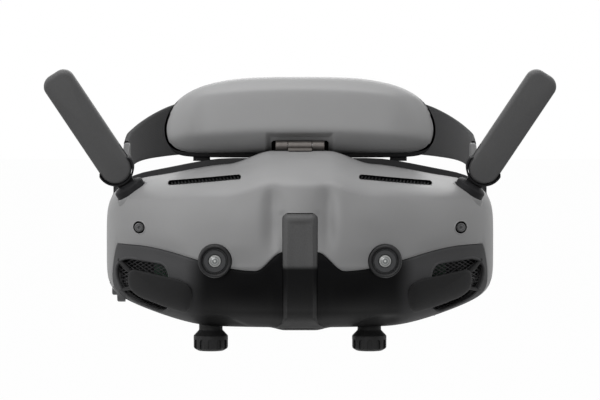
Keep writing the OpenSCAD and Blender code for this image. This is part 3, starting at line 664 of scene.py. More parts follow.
def swept(path, radius, sides=10, closed=True):
    """Points and quads of a round tube along a path: rings of the path's own normals."""
    path = np.asarray(path, float)
    ahead = np.roll(path, -1, 0) - np.roll(path, 1, 0) if closed else np.gradient(path, axis=0)
    ahead /= np.linalg.norm(ahead, axis=1)[:, None]
    up = np.cross(ahead, [0.3, -1.0, 0.2])
    up /= np.linalg.norm(up, axis=1)[:, None]
    out = np.cross(ahead, up)
    a = np.linspace(0, 2 * np.pi, sides, endpoint=False)
    points = path[:, None] + radius * (np.cos(a)[None, :, None] * up[:, None] + np.sin(a)[None, :,
                                                                                          None] * out[:,
                                                                                                      None])
    n = len(path)
    faces = ring_quads(n, sides, closed).tolist()
    if not closed:
        faces += [list(range(sides)), list(range((n - 1) * sides, n * sides))[::-1]]
    return points.reshape(-1, 3), faces


def joined(parts):
    """Stacks several (points, faces) pairs into one pair."""
    points, faces, start = [], [], 0
    for p, f in parts:
        points.append(np.asarray(p, float).reshape(-1, 3))
        faces += [[int(i) + start for i in face] for face in f]
        start += len(points[-1])
    return np.concatenate(points), faces


def both_sides(parts):
    """The same parts and their mirror images for the wearer's right, with their faces turned round."""
    points, faces = joined(parts)
    return joined([(points, faces), (points * np.array([-1, 1, 1]), [list(f)[::-1] for f in faces])])


def inside(points, outline):
    """Which points lie in an outline in front view, by counting edge crossings."""
    outline = np.asarray(outline, float)
    x, z = points[:, None, 0], points[:, None, 1]
    a, b = outline[None], np.roll(outline, -1, 0)[None]
    crosses = (a[..., 1] > z) != (b[..., 1] > z)
    at = a[..., 0] + (z - a[..., 1]) / (b[..., 1] - a[..., 1] + 1e-12) * (b[..., 0] - a[..., 0])
    return (crosses & (x < at)).sum(1) % 2 == 1


rubber_black = Finish("moulded_black")
rubber_black.clouded(1.5, (0.010, 0.010, 0.011), (0.016, 0.016, 0.017), 0.48, 0.12, 0.8,
                     Specular_IOR_Level=0.1)
mesh_finish = Finish("mesh_black")
mesh_finish.surface(Base_Color=mesh_finish.mix(mesh_finish.noise(3), (0.014, 0.014, 0.015),
                                               (0.03, 0.03, 0.032)),
                    Roughness=0.5, Specular_IOR_Level=0.4)
wires = []
for lean in (1, -1):
    for start in np.arange(-30, 120, MESH_RUN * 2):
        t = np.linspace(0, 60, 49)
        line = np.stack([start + lean * (t - 30) * 0.9, -33 + t * 0.55], -1)
        keep = inside(line, np.array(rounded(INTAKE, 2.6)) * 1.012 - np.array([0.75, -0.15]))
        runs = np.split(np.arange(len(line)), np.where(np.diff(keep.astype(int)) != 0)[0] + 1)
        for run in runs:
            if keep[run[0]] and len(run) > 1:
                path = face_at(line[run, 0], line[run, 1], 2.2)
                path[:, 1] += 0.4 * lean * WIRE
                wires.append(swept(path, WIRE, 5, False))
points, faces = both_sides(wires)
intake_mesh = put_mesh("intake_mesh", points, faces, mesh_finish.material, 60)
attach(intake_mesh, "visor")
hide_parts("intake_meshes")
lip = rounded(INTAKE, 2.6, 8)
lip_path = face_at(lip[:, 0], lip[:, 1], 0.35)
points, faces = both_sides([swept(lip_path, 0.62, 12)])
intake_lip = put_mesh("intake_lips", points, faces, lower_finish.material, 60)
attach(intake_lip, "visor")

# Each intake flap is a thick grained plate with rounded corners that stands proud of the intake, and two
# short struts tie it to the rim.
FLAP = [(67.4, -7.6), (47.6, -10.6), (43, -13.2), (42.3, -16.9), (43.4, -22.6), (45.6, -24.6),
        (54.2, -22.4),
        (64.9, -19), (68.9, -15.8), (69.1, -10)]
STRUTS = [((66.5, -10.2), (72.9, -4.6), 0.95), ((66.5, -15.2), (72.9, -17.0), 0.8)]


def plate(outline, profile, back):
    """A solid plate on the casing's face: rings of the outline drawn in and raised by the profile's (inset, rise)
    pairs, closed by a flat back at offset back."""
    outline = np.asarray(outline, float)
    centre = outline.mean(0)
    ahead = np.roll(outline, -1, 0) - np.roll(outline, 1, 0)
    normal = np.stack([ahead[:, 1], -ahead[:, 0]], -1)
    normal /= np.linalg.norm(normal, axis=1)[:, None]
    if ((outline - centre) * normal).sum() < 0:
        normal = -normal
    rings = []
    for inset, lift in profile:
        ring = outline - normal * inset
        place = face_at(ring[:, 0], ring[:, 1])
        place[:, 1] -= lift
        rings.append(place)
    for share in (0.8, 0.55, 0.3, 0.08):
        ring = centre + (outline - normal * profile[-1][0] - centre) * share
        place = face_at(ring[:, 0], ring[:, 1])
        place[:, 1] -= profile[-1][1]
        rings.append(place)
    base = face_at(outline[:, 0], outline[:, 1])
    base[:, 1] += back
    rings.insert(0, base)
    n = len(outline)
    faces = ring_quads(len(rings), n).tolist()
    faces += [list(range(n))[::-1], list(range((len(rings) - 1) * n, len(rings) * n))]
    return np.concatenate(rings), faces


flap_finish = Finish("flap_grain")
flap_grain = flap_finish.cells(0.4)
flap_finish.surface(Base_Color=flap_finish.mix(flap_finish.noise(0.45) * 0.5 + flap_finish.noise(8,
                                                                                                 3) * 0.5,
                                               (0.011, 0.011, 0.0115), (0.024, 0.024, 0.0245)),
                    Roughness=0.52 + 0.12 * flap_finish.noise(0.6), Specular_IOR_Level=0.08,
                    Normal=flap_finish.bump(flap_grain, 0.02, 0.7))
flap_profile = [(0, -0.1), (0, 1.0), (0.12, 1.35), (0.35, 1.6), (0.8, 1.72), (1.6, 1.76)]
for side, name in ((1, "left"), (-1, "right")):
    struts = []
    for p, q, radius in STRUTS:
        t = np.linspace(0, 1, 8)[:, None]
        line = np.array(p) + (np.array(q) - np.array(p)) * t
        struts.append(swept(face_at(line[:, 0], line[:, 1], 0.6), radius, 10, False))
    outline = rounded(FLAP, 2.0, 8)
    parts = joined([plate(outline, flap_profile, 1.4)] + struts)
    points, faces = parts if side > 0 else (parts[0] * np.array([-1, 1, 1]), [f[::-1] for f in parts[1]])
    flap = put_mesh(f"intake_flap_{name}", points, faces, flap_finish.material, 40)
    turn_outward(flap)
    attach(flap, "visor")
    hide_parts(f"intake_panel_{name}")

# Two camera eyes look forward: a black turned bezel, a stepped black module let into it, and a coated glass
# lens whose bright rings round its middle are painted reflections in its colour.
def facing(points, x, z):
    """Carries a piece turned about Z to face forward, with its axis at x and z and its height along -Y."""
    points = np.asarray(points, float)
    return np.stack([points[:, 0] + x, -points[:, 2], points[:, 1] + z], -1)


bezel_profile = [(6.6, 91), (6.6, 100.1), (6.5, 100.8), (6.25, 101.3), (5.85, 101.58), (5.5, 101.5),
                 (5.2, 101.2),
                 (5.0, 100.7), (4.9, 100.0), (4.9, 91)]
module_profile = [(4.88, 91), (4.88, 99.5), (4.45, 99.5), (4.4, 100.35), (4.25, 100.5), (2.75, 100.5),
                  (2.5, 100.2),
                  (2.45, 99.6), (0, 99.6), (0, 91)]
lens_profile = [(2.44, 99.5), (2.44, 100.0), (2.3, 100.25), (1.9, 100.45), (1.4, 100.6), (0.9, 100.7),
                (0.45, 100.74),
                (0, 100.75)]
bezel_finish = Finish("bezel_black")
bezel_finish.clouded(0.8, (0.012, 0.012, 0.0125), (0.02, 0.02, 0.021), 0.36, 0.1, 0.6,
                     Specular_IOR_Level=0.2)
module_finish = Finish("camera_module_black")
module_finish.clouded(0.7, (0.030, 0.031, 0.033), (0.045, 0.046, 0.048), 0.38, 0.1, 0.5,
                      Specular_IOR_Level=0.3)
lens_finish = Finish("camera_lens_painted_reflections")
lens_x, _, lens_z = (axis / MM for axis in lens_finish.axes())
off_x, off_z = abs(lens_x) - CAMERA_X, lens_z - CAMERA_Z
apart = off_x * off_x + off_z * off_z
reach = apart.math("SQRT", apart)
# painted reflection: bright rings painted into the lens's colour by distance from its centre stand in for
# reflections in the glass
rings = lens_finish.node("ShaderNodeValToRGB", {"stops": [
    (0.0, (0.62, 0.64, 0.62)), (1.0, (0.02, 0.02, 0.02)), (0.16, (0.50, 0.52, 0.50)), (0.2,
                                                                                       (0.10, 0.11, 0.11)),
    (0.4, (0.16, 0.17, 0.17)), (0.5, (0.36, 0.38, 0.37)), (0.66, (0.10, 0.10, 0.10)), (0.76,
                                                                                       (0.42, 0.43, 0.42)),
    (0.92, (0.30, 0.31, 0.30)), (0.97, (0.03, 0.03, 0.03))]}, {0: reach / 2.5})
lens_finish.surface(Base_Color=rings, Roughness=0.12 + 0.05 * lens_finish.noise(1), Coat_Weight=0.7,
                    Coat_Roughness=0.03)
for name, profile, finish, node, closed, slot_name in (
        ("camera_bezels", bezel_profile, bezel_finish, "camera_bezels", True, "black_plastic"),
        ("camera_modules", module_profile, module_finish, "camera_modules", False, "black_plastic"),
        ("camera_lenses", lens_profile, lens_finish, "camera_glasses", False, "optical_glass")):
    points, faces = turned(profile, 72, closed)
    pair = joined([(facing(points, side * CAMERA_X, CAMERA_Z), faces) for side in (1, -1)])
    piece = put_mesh(name, *pair, finish.material, 28, merge=1e-4)
    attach(piece, "visor")
    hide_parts(node)

# A hexagon-socket screw sits in a round well on each side of the face and holds the shells together.
HEAD_SINK = 0.7


def let_in(points, side):
    """Sets a screw's well on the sloping face, each point as far in front of the face as it was above Z
    0."""
    placed = facing(points, SCREW_X, SCREW_Z)
    placed[:, 1] += face_at(placed[:, 0], placed[:, 2])[:, 1]
    return placed * [side, 1, 1]


well_profile = [(2.46, -4.5), (2.46, 0.05), (2.62, 0.22), (2.8, 0.2), (3.05, -0.1), (3.4, -0.9),
                (3.4, -4.5)]
head_profile = [(0, -6), (1.0, -6), (1.0, -2.4), (1.85, -2.4), (1.85, -0.75), (1.75, -0.6), (1.45, -0.55),
                (1.38, -0.7), (1.2, -0.7), (1.12, -0.58), (0, -0.58)]
well_points, well_faces = turned(well_profile, 64, True)
well = put_mesh("screw_wells", *joined([(let_in(well_points, side), well_faces) for side in (1, -1)]),
                shell_finish, 30, merge=1e-4)
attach(well, "visor")
screw_finish = Finish("blackened_steel")
screw_finish.clouded(0.6, (0.07, 0.07, 0.072), (0.12, 0.12, 0.122), 0.34, 0.12, 0.4, Metallic=0.6)
screw_face = -face_at(SCREW_X, SCREW_Z)[1] - HEAD_SINK
head_points, head_faces = turned([(r, h + screw_face) for r, h in head_profile], 48)
heads = [(facing(head_points, side * SCREW_X, SCREW_Z), head_faces) for side in (1, -1)]
screws = put_mesh("front_screws", *joined(heads),
                  screw_finish.material, 30, merge=1e-4)
key_points, key_faces = turned([(0, screw_face - 2), (0.72, screw_face - 2), (0.72, screw_face),
                                (0, screw_face)], 6)
cut(screws, [cutter(facing(key_points, side * SCREW_X, SCREW_Z), key_faces)
             for side in (1, -1)], sharp=30)
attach(screws, "visor")
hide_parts("front_screws")

# Behind each top vent lies a black moulded grille with slanted teeth.
vent_direction = np.array(VENT_OUT) - np.array(VENT_IN)
teeth = []
for share in np.linspace(0.015, 0.985, 20):
    middle = np.array(VENT_IN) + vent_direction * share
    line = middle + np.array([[-0.75, -1.15], [0, 0], [0.75, 1.15]])
    teeth.append(swept(face_at(line[:, 0], line[:, 1], 1.0), 0.3, 8, False))
tray = np.stack([np.array(VENT_IN) + vent_direction * t for t in np.linspace(-0.03, 1.03, 40)])
tray_front = np.stack([face_at(tray[:, 0], tray[:, 1] + dz, 2.0) for dz in (-1.4, 0, 1.4)])
tray_rear = tray_front + np.array([0, 0.5, -0.4])
tray_mesh = closed_skin("tray", tray_front, tray_rear, None)
tray_points = np.array([v.co for v in tray_mesh.data.vertices]) / MM
tray_part = (tray_points, [list(p.vertices) for p in tray_mesh.data.polygons])
bpy.data.objects.remove(tray_mesh)
grilles = put_mesh("vent_grilles", *both_sides(teeth + [tray_part]), rubber_black.material, 40)
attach(grilles, "visor")
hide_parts("vent_grilles")

# Each antenna is a flat grained blade with soft edges and a rounded tip. Its round lower end, in a black
# ring, turns on a pin through the tongue of a black round base, which stands in the collar on the casing's
# corner.
BLADE_L, BLADE_W, BLADE_T, TIP_R = 45.5, 13.2, 5.4, 4.6


def blade_outline(inset):
    """Half circle about the pivot below, two corner arcs at the tip, all drawn in by inset."""
    a = np.linspace(np.pi, 2 * np.pi, 41)
    low = (BLADE_W / 2 - inset) * np.stack([np.cos(a), np.sin(a)], -1)
    b = np.linspace(0, np.pi / 2, 15)
    arc = np.stack([np.cos(b), np.sin(b)], -1) * (TIP_R - inset)
    right = arc + [BLADE_W / 2 - TIP_R, BLADE_L - TIP_R]
    left = arc[::-1] * [-1, 1] + [TIP_R - BLADE_W / 2, BLADE_L - TIP_R]
    side_r = np.stack([np.full(20, BLADE_W / 2 - inset), np.linspace(1.5, BLADE_L - TIP_R - 1.5, 20)], -1)
    return np.concatenate([low, side_r, right, left, side_r[::-1] * [-1, 1]])


def loft(rings, caps=True):
    """Quads between equal closed rings, with fans to the middle at both ends."""
    n, m = len(rings[0]), len(rings)
    faces = ring_quads(m, n).tolist()
    points = np.concatenate(rings)
    if caps:
        points = np.concatenate([points, rings[0].mean(0)[None], rings[-1].mean(0)[None]])
        faces += [[(a + 1) % n, a, m * n] for a in range(n)]
        faces += [[(m - 1) * n + a, (m - 1) * n + (a + 1) % n, m * n + 1] for a in range(n)]
    return points, faces


antenna_finish = Finish("antenna_grain")
antenna_grain = antenna_finish.cells(0.45)
antenna_cloud = antenna_finish.noise(0.5) * 0.6 + antenna_finish.noise(9, 3) * 0.4
antenna_finish.surface(Base_Color=antenna_finish.mix(antenna_cloud,
                                                     (0.062, 0.062, 0.063), (0.092, 0.092, 0.093)),
                       Roughness=0.46 + 0.12 * antenna_finish.noise(0.7), Specular_IOR_Level=0.35,
                       Normal=antenna_finish.bump(antenna_grain, 0.02, 0.7))
edge = [(1.5, 0.0), (1.0, 0.12), (0.55, 0.4), (0.22, 0.85), (0.05, 1.4), (0.0, 2.1)]
layers = [(i, -BLADE_T / 2 + d) for i, d in edge] + [(i, BLADE_T / 2 - d) for i, d in edge[::-1]]
blade_rings = [np.insert(blade_outline(i), 1, y, axis=1) for i, y in layers]
ring_arc = np.radians(np.linspace(168, 372, 61))
ring_section = [(6.72, -2.3), (6.72, 2.3), (6.95, 2.62), (7.25, 2.62), (7.45, 2.2), (7.45, -2.2),
                (7.25, -2.62), (6.95, -2.62)]
base_profile = [(0, -17), (6.3, -17), (6.3, -9.55), (6.05, -9.1), (5.6, -8.75), (3.6, -8.0), (3.2, -7.9),
                (0, -7.9)]
for side, name in ((1, "left"), (-1, "right")):
    points, faces = loft(blade_rings)
    blade = put_mesh(f"antenna_blade_{name}", antenna_frame(points, side), faces, antenna_finish.material,
                     50, merge=1e-4)
    slot_points, slot_faces = turned([(0, -1.15), (9.8, -1.15), (9.8, 1.15), (0, 1.15)], 72)
    slot_points = np.stack([slot_points[:, 0], slot_points[:, 2], slot_points[:, 1]], -1)
    cut(blade, [cutter(antenna_frame(slot_points, side), slot_faces)], sharp=50)
    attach(blade, f"antenna_{name}")
    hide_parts(f"antenna_blade_{name}")
    section = np.array(ring_section)
    taper = 1 - 0.75 * (ease(10, 0, np.degrees(ring_arc) - 168) + ease(10, 0, 372 - np.degrees(ring_arc)))
    rings = []
    for angle, scale in zip(ring_arc, taper):
        r = 6.72 + (section[:, 0] - 6.72) * scale
        rings.append(np.stack([r * math.cos(angle), section[:, 1], r * math.sin(angle)], -1))
    points, faces = loft(rings)
    knuckle = put_mesh(f"antenna_ring_{name}", antenna_frame(points, side), faces, rubber_black.material,
                       40, merge=1e-4)
    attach(knuckle, f"antenna_{name}")
    points, faces = turned(base_profile, 72)
    tongue = np.array([[x, y, z] for x in (-3.4, 3.4) for y in (-1, 1) for z in (-9, 0)])
    tongue_faces = [[0, 1, 3, 2], [4, 6, 7, 5], [0, 4, 5, 1], [2, 3, 7, 6], [0, 2, 6, 4], [1, 5, 7, 3]]
    eye_points, eye_faces = turned([(1.5, -1), (5.4, -1), (5.4, 1), (1.5, 1)], 48, True)
    eye_points = np.stack([eye_points[:, 0], eye_points[:, 2], eye_points[:, 1]], -1)
    points, faces = joined([(points, faces), (tongue, tongue_faces), (eye_points, eye_faces)])
    base = put_mesh(f"antenna_base_{name}", antenna_frame(points, side), faces, rubber_black.material, 35,
                    merge=1e-4)
    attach(base, "visor")
    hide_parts(f"antenna_base_{name}")

# The main, battery and antenna boards are green glass-fibre boards with a solder mask over fine copper
# tracks.
board_finish = Finish("circuit_board")
tracks = board_finish.node("ShaderNodeTexBrick", {"offset": 0.5}, {
    "Vector": board_finish.place(), "Scale": 420.0, "Mortar Size": 0.03, "Color1": (0.004, 0.026, 0.013, 1),
    "Color2": (0.005, 0.032, 0.015, 1), "Mortar": (0.012, 0.06, 0.028, 1)})
board_finish.surface(Base_Color=tracks, Roughness=0.35 + 0.15 * board_finish.noise(2))
for node in ("main_board", "battery_board", "antenna_board_left", "antenna_board_right"):
    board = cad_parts[node]
    board.data.materials.clear()
    board.data.materials.append(board_finish.material)

# The forehead support's front is a pillow-shaped grey moulding with the shell's grain. Soft creases part
# its face from its top bevel, its ends and its underside, and a notch in the middle clears the hinge.
def curve_through(points, count, closed=False):
    """Catmull-Rom curve through the points: each piece is a cubic whose end slopes are half the chord between the
    points on either side. Returns count points, even in length."""
    p = np.asarray(points, float)
    if closed:
        p = np.concatenate([p[-1:], p, p[:2]])
    else:
        p = np.concatenate([2 * p[:1] - p[1:2], p, 2 * p[-1:] - p[-2:-1]])
    t = np.linspace(0, 1, 24, endpoint=False)[None, :, None]
    a, b, c, d = p[:-3, None], p[1:-2, None], p[2:-1, None], p[3:, None]
    fine = 0.5 * (2 * b + (c - a) * t + (2 * a - 5 * b + 4 * c - d) * t ** 2
                  + (3 * b - a - 3 * c + d) * t ** 3)
    fine = np.concatenate([fine.reshape(-1, p.shape[1]), p[-2:-1]])
    run = np.concatenate([[0], np.cumsum(np.linalg.norm(np.diff(fine, axis=0), axis=1))])
    at = np.linspace(0, run[-1], count, endpoint=not closed)
    return np.stack([np.interp(at, run, fine[:, k]) for k in range(p.shape[1])], -1)


def fold(distance, softness):
    """A soft corner: nearly 0 before a crease and nearly the distance beyond it, softness log(1 + exp(d /
    softness))."""
    return softness * np.logaddexp(0, distance / softness)


PAD_HALF = [(12, 69.35), (24, 68.8), (34, 67.3), (42, 64.9), (48.5, 61.2), (53, 56.2), (55.3, 50.8),
            (55.6, 46.2),
            (54.4, 42.2), (51.6, 39.7), (47, 38.6), (38, 38.25), (20, 38.1)]
pad_points = [(0, 69.4)] + PAD_HALF + [(0, 38.1)] + [(-x, z) for x, z in PAD_HALF[::-1]]
pad_outline = curve_through(pad_points, 360, True)
PAD_CENTRE = np.array([0, 53.5])
PAD_MID_Y = -38.0


def pad_front(x, z, s):
    """Y of the pad's face: a leaning plane, folded back past its creases, rounded off as s nears 1 at the
    edge."""
    ax = np.abs(x)
    y = -52.4 + 0.0006 * x ** 2 + 0.13 * (z - 47)
    y = y + 0.75 * fold(z - (64.6 - 0.0014 * x ** 2), 0.5)
    y = y + 0.36 * fold(ax - 39, 1.6) + 0.05 * np.maximum(0, ax - 43) ** 1.6
    y = y + 1.05 * fold(47.0 - 0.0010 * x ** 2 - z, 0.9)
    y = y + 2.4 * ease(0, 2.4, np.minimum(14.2 - ax, 47.0 - z))
    y = y + 13 * (1 - partner(s, 5.5))
    return np.minimum(y, PAD_MID_Y)


def pad_ring(s, drop=0.0, wall=0.0):
    """One closed ring of the pad's face at share s of the way out, moved back by drop and drawn in by
    wall."""
    shape = PAD_CENTRE + (pad_outline - PAD_CENTRE) * s
    shape = PAD_CENTRE + (shape - PAD_CENTRE) * (1 - wall / 22)
    y = np.minimum(pad_front(shape[:, 0], shape[:, 1], s) + drop, PAD_MID_Y)
    return np.stack([shape[:, 0], y, shape[:, 1]], -1)


# painted light: the pad is the shell's grey moulding, set lighter here (0.30 against 0.245) because its face
# leans up to the overhead lamp
pad_finish = moulded_grey("pad_grey_painted_light", (0.30, 0.30, 0.302))
shares = np.concatenate([np.linspace(0.02, 0.8, 50), np.linspace(0.81, 1, 34)])
outer = [pad_ring(s) for s in shares]
inner = [pad_ring(s, 1.8, 1.8) for s in np.linspace(1, 0.03, 14)]
pad_shell = put_mesh("pad_front_moulding", *loft(outer + inner), pad_finish, 50, merge=1e-4)
hinge_notch = [(-11.7, 30), (11.7, 30), (11.7, 42.6), (10.9, 43.4), (-10.9, 43.4), (-11.7, 42.6)]
cut(pad_shell, [carried(hinge_notch, 1, -70, -36)], sharp=50)
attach(pad_shell, "forehead_support")
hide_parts("pad_front_shell")

# The pad's rear half is a black tray that shows as a dark edge below the grey moulding, with two small
# feet.
tray_outline = PAD_CENTRE + (pad_outline - PAD_CENTRE) * np.array([0.985, 1.0])
tray_outline[:, 1] = 69.2 - (69.2 - tray_outline[:, 1]) * 1.062


def drawn_in(outline, inset):
    """The outline moved inwards by inset along its own normals."""
    ahead = np.roll(outline, -1, 0) - np.roll(outline, 1, 0)
    normal = np.stack([ahead[:, 1], -ahead[:, 0]], -1) / np.linalg.norm(ahead, axis=1)[:, None]
    if ((outline - outline.mean(0)) * normal).sum() < 0:
        normal = -normal
    return outline - normal * inset


def tray_ring(inset, y):
    ring = drawn_in(tray_outline, inset)
    return np.stack([ring[:, 0], np.full(len(ring), y), ring[:, 1]], -1)


tray_rings = [tray_ring(i, y) for i, y in ((1.2, -37.95), (0.45, -37.9), (0.1, -37.5), (0.1, -33.5),
                                           (0.5, -31),
                                          (1.6, -29), (3.2, -27.9), (5.5, -27.6))]
feet = []
for side in (1, -1):
    foot = slot((side * 40.5 - 2.2, 0), (side * 40.5 + 2.2, 0), 1.3, 10)
    foot[:, 1] -= 35.0
    feet.append(loft([np.insert(foot, 2, z, axis=1) for z in (38, 35.3, 34.9)]))
rear_tray = put_mesh("pad_rear_tray", *joined([loft(tray_rings)] + feet), rubber_black.material, 40,
                     merge=1e-4)
POWER_KEY = [26, -33.4, 0]
hole_points, hole_faces = turned([(0, 60.8), (3.3, 60.8), (3.3, 80), (0, 80)], 48)
cut(rear_tray, [cutter(hole_points + POWER_KEY, hole_faces)], sharp=40)
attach(rear_tray, "forehead_support")
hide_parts("pad_rear_shell")

# A bronze-grey metal hinge joins the pad to the casing's peak: a middle knuckle on a leaf that's screwed to
# the casing, an outer knuckle on each side fixed to the pad, and a steel pin through all three.
hinge_finish = Finish("hinge_metal")
hinge_finish.clouded(1.2, (0.10, 0.090, 0.084), (0.15, 0.138, 0.13), 0.42, 0.12, 0.8, Metallic=0.7)

HINGE_Y, HINGE_Z = -49.0, 41.4


def barrel_between(x0, x1, radius=1.9, bevel=0.18):
    """A bevelled knuckle along X on the hinge's axis."""
    points, faces = turned([(0, x0), (radius - bevel, x0), (radius, x0 + bevel), (radius, x1 - bevel),
                            (radius - bevel, x1), (0, x1)], 40)
    return np.stack([points[:, 2], points[:, 1] + HINGE_Y, points[:, 0] + HINGE_Z], -1), faces


middle = [barrel_between(-4.85, 4.85)]
middle.append(loft([np.array([[x, y, z] for x, y in ((-4.8, -56), (4.8, -56), (4.8, -47.1), (-4.8, -47.1))])
                    for z in (39.45, 40.4)]))
hinge_middle = put_mesh("hinge_middle", *joined(middle), hinge_finish.material, 30, merge=1e-4)
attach(hinge_middle, "visor")
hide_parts("hinge_bracket")
outer_knuckles = [barrel_between(4.95, 9.9), barrel_between(-9.9, -4.95)]
for side in (1, -1):
    leaf = np.array([[side * 5.0, -49], [side * 9.85, -49], [side * 9.85, -38.2], [side * 5.0, -38.2]])
    outer_knuckles.append(loft([np.column_stack([leaf, np.full(4, z)]) for z in (42.2, 43.2)]))
hinge_outer = put_mesh("hinge_outer", *joined(outer_knuckles), hinge_finish.material, 30, merge=1e-4)
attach(hinge_outer, "forehead_support")

# Two pouch cells in pale wrap fill the pad's hollow in front of the power board.
cell_finish = Finish("cell_wrap")
cell_finish.clouded(6, (0.12, 0.16, 0.20), (0.18, 0.22, 0.27), 0.3, 0.1, 3)
cell = rounded([(1.4, 47.9), (40.5, 47.9), (40.5, 59.6), (1.4, 59.6)], 2.0)
cell_rings = [np.insert(drawn_in(cell, i), 1, y, axis=1) for i,
              y in ((1, -46.6), (0, -45.8), (0, -39), (1, -38.3))]
cells = put_mesh("battery_cells", *both_sides([loft(cell_rings)]), cell_finish.material, 40)
turn_outward(cells)
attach(cells, "forehead_support")
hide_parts("battery_cells")

# The headband is one band of ribbed dark webbing, wider behind the head, with a stitched line near each
# edge. It is sewn to a grey tab on each side of the casing and runs through a black buckle at the back.
STRAP_HALF = [(73, -9, 35.2), (73.5, 6, 36.6), (73.6, 22, 38.2), (72.4, 40, 40), (69.6, 58, 42),
              (65, 76, 44),
              (58.4, 94, 46), (49.6, 110, 47.6), (38.4, 124, 48.8), (25.4, 134, 49.6), (12.8, 139.4, 50)]
strap_points = STRAP_HALF + [(0, 141, 50)] + [(-x, y, z) for x, y, z in STRAP_HALF[::-1]]
STRAP_COUNT = 520
strap_line = curve_through(strap_points, STRAP_COUNT)
strap_ahead = np.gradient(strap_line, axis=0)
strap_run = np.concatenate([[0], np.cumsum(np.linalg.norm(np.diff(strap_line, axis=0), axis=1))])
strap_ahead /= np.linalg.norm(strap_ahead, axis=1)[:, None]
strap_out = np.cross(strap_ahead, [0, 0, 1.0])
strap_out /= np.linalg.norm(strap_out, axis=1)[:, None]
strap_up = np.cross(strap_out, strap_ahead)
strap_wide = 15.2 + 10.6 * ease(30, 130, strap_line[:, 1])
section_u = np.array([-1, -0.97, -0.9, -0.6, -0.3, 0, 0.3, 0.6, 0.9, 0.97, 1, 1, 0.97, 0.9, 0.6, 0.3, 0,
                      -0.3, -0.6, -0.9,
                      -0.97, -1])
section_t = np.array([0.45, 0.85, 1, 1, 1, 1, 1, 1, 1, 0.85, 0.45, -0.45, -0.85, -1, -1, -1, -1, -1, -1, -1,
                      -0.85, -0.45])


def on_strap(index, across, out):
    """Point of the webbing at a step of its length, a share across its width and a height off its middle,
    in mm."""
    return (strap_line[index] + strap_up[index] * (across * strap_wide[index] / 2)[:, None]
            + strap_out[index] * np.asarray(out)[:, None])


strap_rings = [on_strap(np.full(len(section_u), k), section_u, section_t) for k in range(STRAP_COUNT)]
points, faces = loft(strap_rings)
webbing_finish = Finish("webbing_weave")
along = webbing_finish.node("ShaderNodeAttribute", {"attribute_name": "along"}, {}, 2)
across_mm = webbing_finish.node("ShaderNodeAttribute", {"attribute_name": "across"}, {}, 2)
ribs = (along * (2 * math.pi / 0.9)).math("SINE", along * (2 * math.pi / 0.9)) * 0.5 + 0.5
yarns = (across_mm * (2 * math.pi / 0.7)).math("SINE", across_mm * (2 * math.pi / 0.7)) * 0.5 + 0.5
weave = ribs * 0.6 + ribs * yarns * 0.4
fuzz = webbing_finish.noise(0.5)
webbing_finish.surface(Base_Color=webbing_finish.mix(weave * 0.7 + fuzz * 0.3, (0.009, 0.009, 0.010),
                                                     (0.030, 0.030, 0.032)),
                       Roughness=0.8 + 0.1 * fuzz, Specular_IOR_Level=0.08, Sheen_Weight=0.15,
                       Normal=webbing_finish.bump(weave, 0.12, 0.8))
strap = put_mesh("headband_webbing", points, faces, webbing_finish.material, 50)
run_values = np.concatenate([np.repeat(strap_run, len(section_u)), [0, strap_run[-1]]])
across_values = np.concatenate([(section_u[None, :] * strap_wide[:, None] / 2).reshape(-1), [0, 0]])
for name, values in (("along", run_values), ("across", across_values)):
    strap.data.attributes.new(name, "FLOAT", "POINT").data.foreach_set("value", values.astype(np.float32))
turn_outward(strap)
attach(strap, "headband")
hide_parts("strap")
stitches = []
for edge_side in (1, -1):
    for start in np.arange(3.0, strap_run[-1] - 3, 2.9):
        where = np.interp([start, start + 1.0, start + 2.0], strap_run, np.arange(STRAP_COUNT))
        index = np.round(where).astype(int)
        share = edge_side * (1 - 2 * 1.7 / strap_wide[index])
        stitches.append(swept(on_strap(index, share, [1.0, 1.16, 1.0]), 0.17, 5, False))
thread_finish = Finish("stitching_thread")
thread_finish.surface(Base_Color=thread_finish.mix(thread_finish.noise(0.4), (0.04, 0.04, 0.042),
                                                   (0.07, 0.07, 0.073)),
                      Roughness=0.75)
thread = put_mesh("headband_stitches", *joined(stitches), thread_finish.material, 0)
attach(thread, "headband")

# A grey moulded tab with rounded edges holds each end of the webbing and turns on a stub in the casing's
# side.
tab_finish = moulded_grey("tab_grey", (0.085, 0.085, 0.087))
tab_outline = rounded([(-22.2, 28.3), (-20.0, 28.0), (-7.4, 28.4), (-7.4, 42.0), (-12.6, 42.0),
                       (-22.0, 36.9), (-24.6, 34.4),
                       (-24.9, 31.0)], 1.6, 8)
for side, name in ((1, "left"), (-1, "right")):
    rings = [np.insert(drawn_in(tab_outline, i), 0, side * x, axis=1)
             for i, x in ((1.2, 71.35), (0.5, 71.4), (0, 71.9), (0, 73.3), (0.25, 73.7), (0.8, 73.98),
                          (1.6, 74.05))]
    stub_points, stub_faces = turned([(0, 73.5), (3.1, 73.5), (3.1, 74.5), (2.7, 74.9), (1.2, 74.9),
                                      (1.0, 74.6), (0, 74.6)], 40)
    stub = (np.stack([side * stub_points[:, 2], stub_points[:, 0] - 20.5, stub_points[:, 1] + 32.5], -1),
            stub_faces)
    tab = put_mesh(f"strap_tab_{name}", *joined([loft(rings), stub]), tab_finish, 40, merge=1e-4)
    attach(tab, "headband")
    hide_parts(f"strap_tab_{name}")

# The face seat is a soft foam ring in a fine knitted cover. The forehead rests on a cushion of the same
# foam. Both are blown up a little as cloth, so that their faces swell and their edges draw in.
FACE_R, FACE_HALF_W, FACE_FOAM = 120.0, 75.0, 14.0


def face_curve(x, radius):
    """Y of the arc that the face seat follows."""
    return math.sqrt(FACE_R ** 2 - FACE_HALF_W ** 2) - np.sqrt(radius ** 2 - x ** 2)


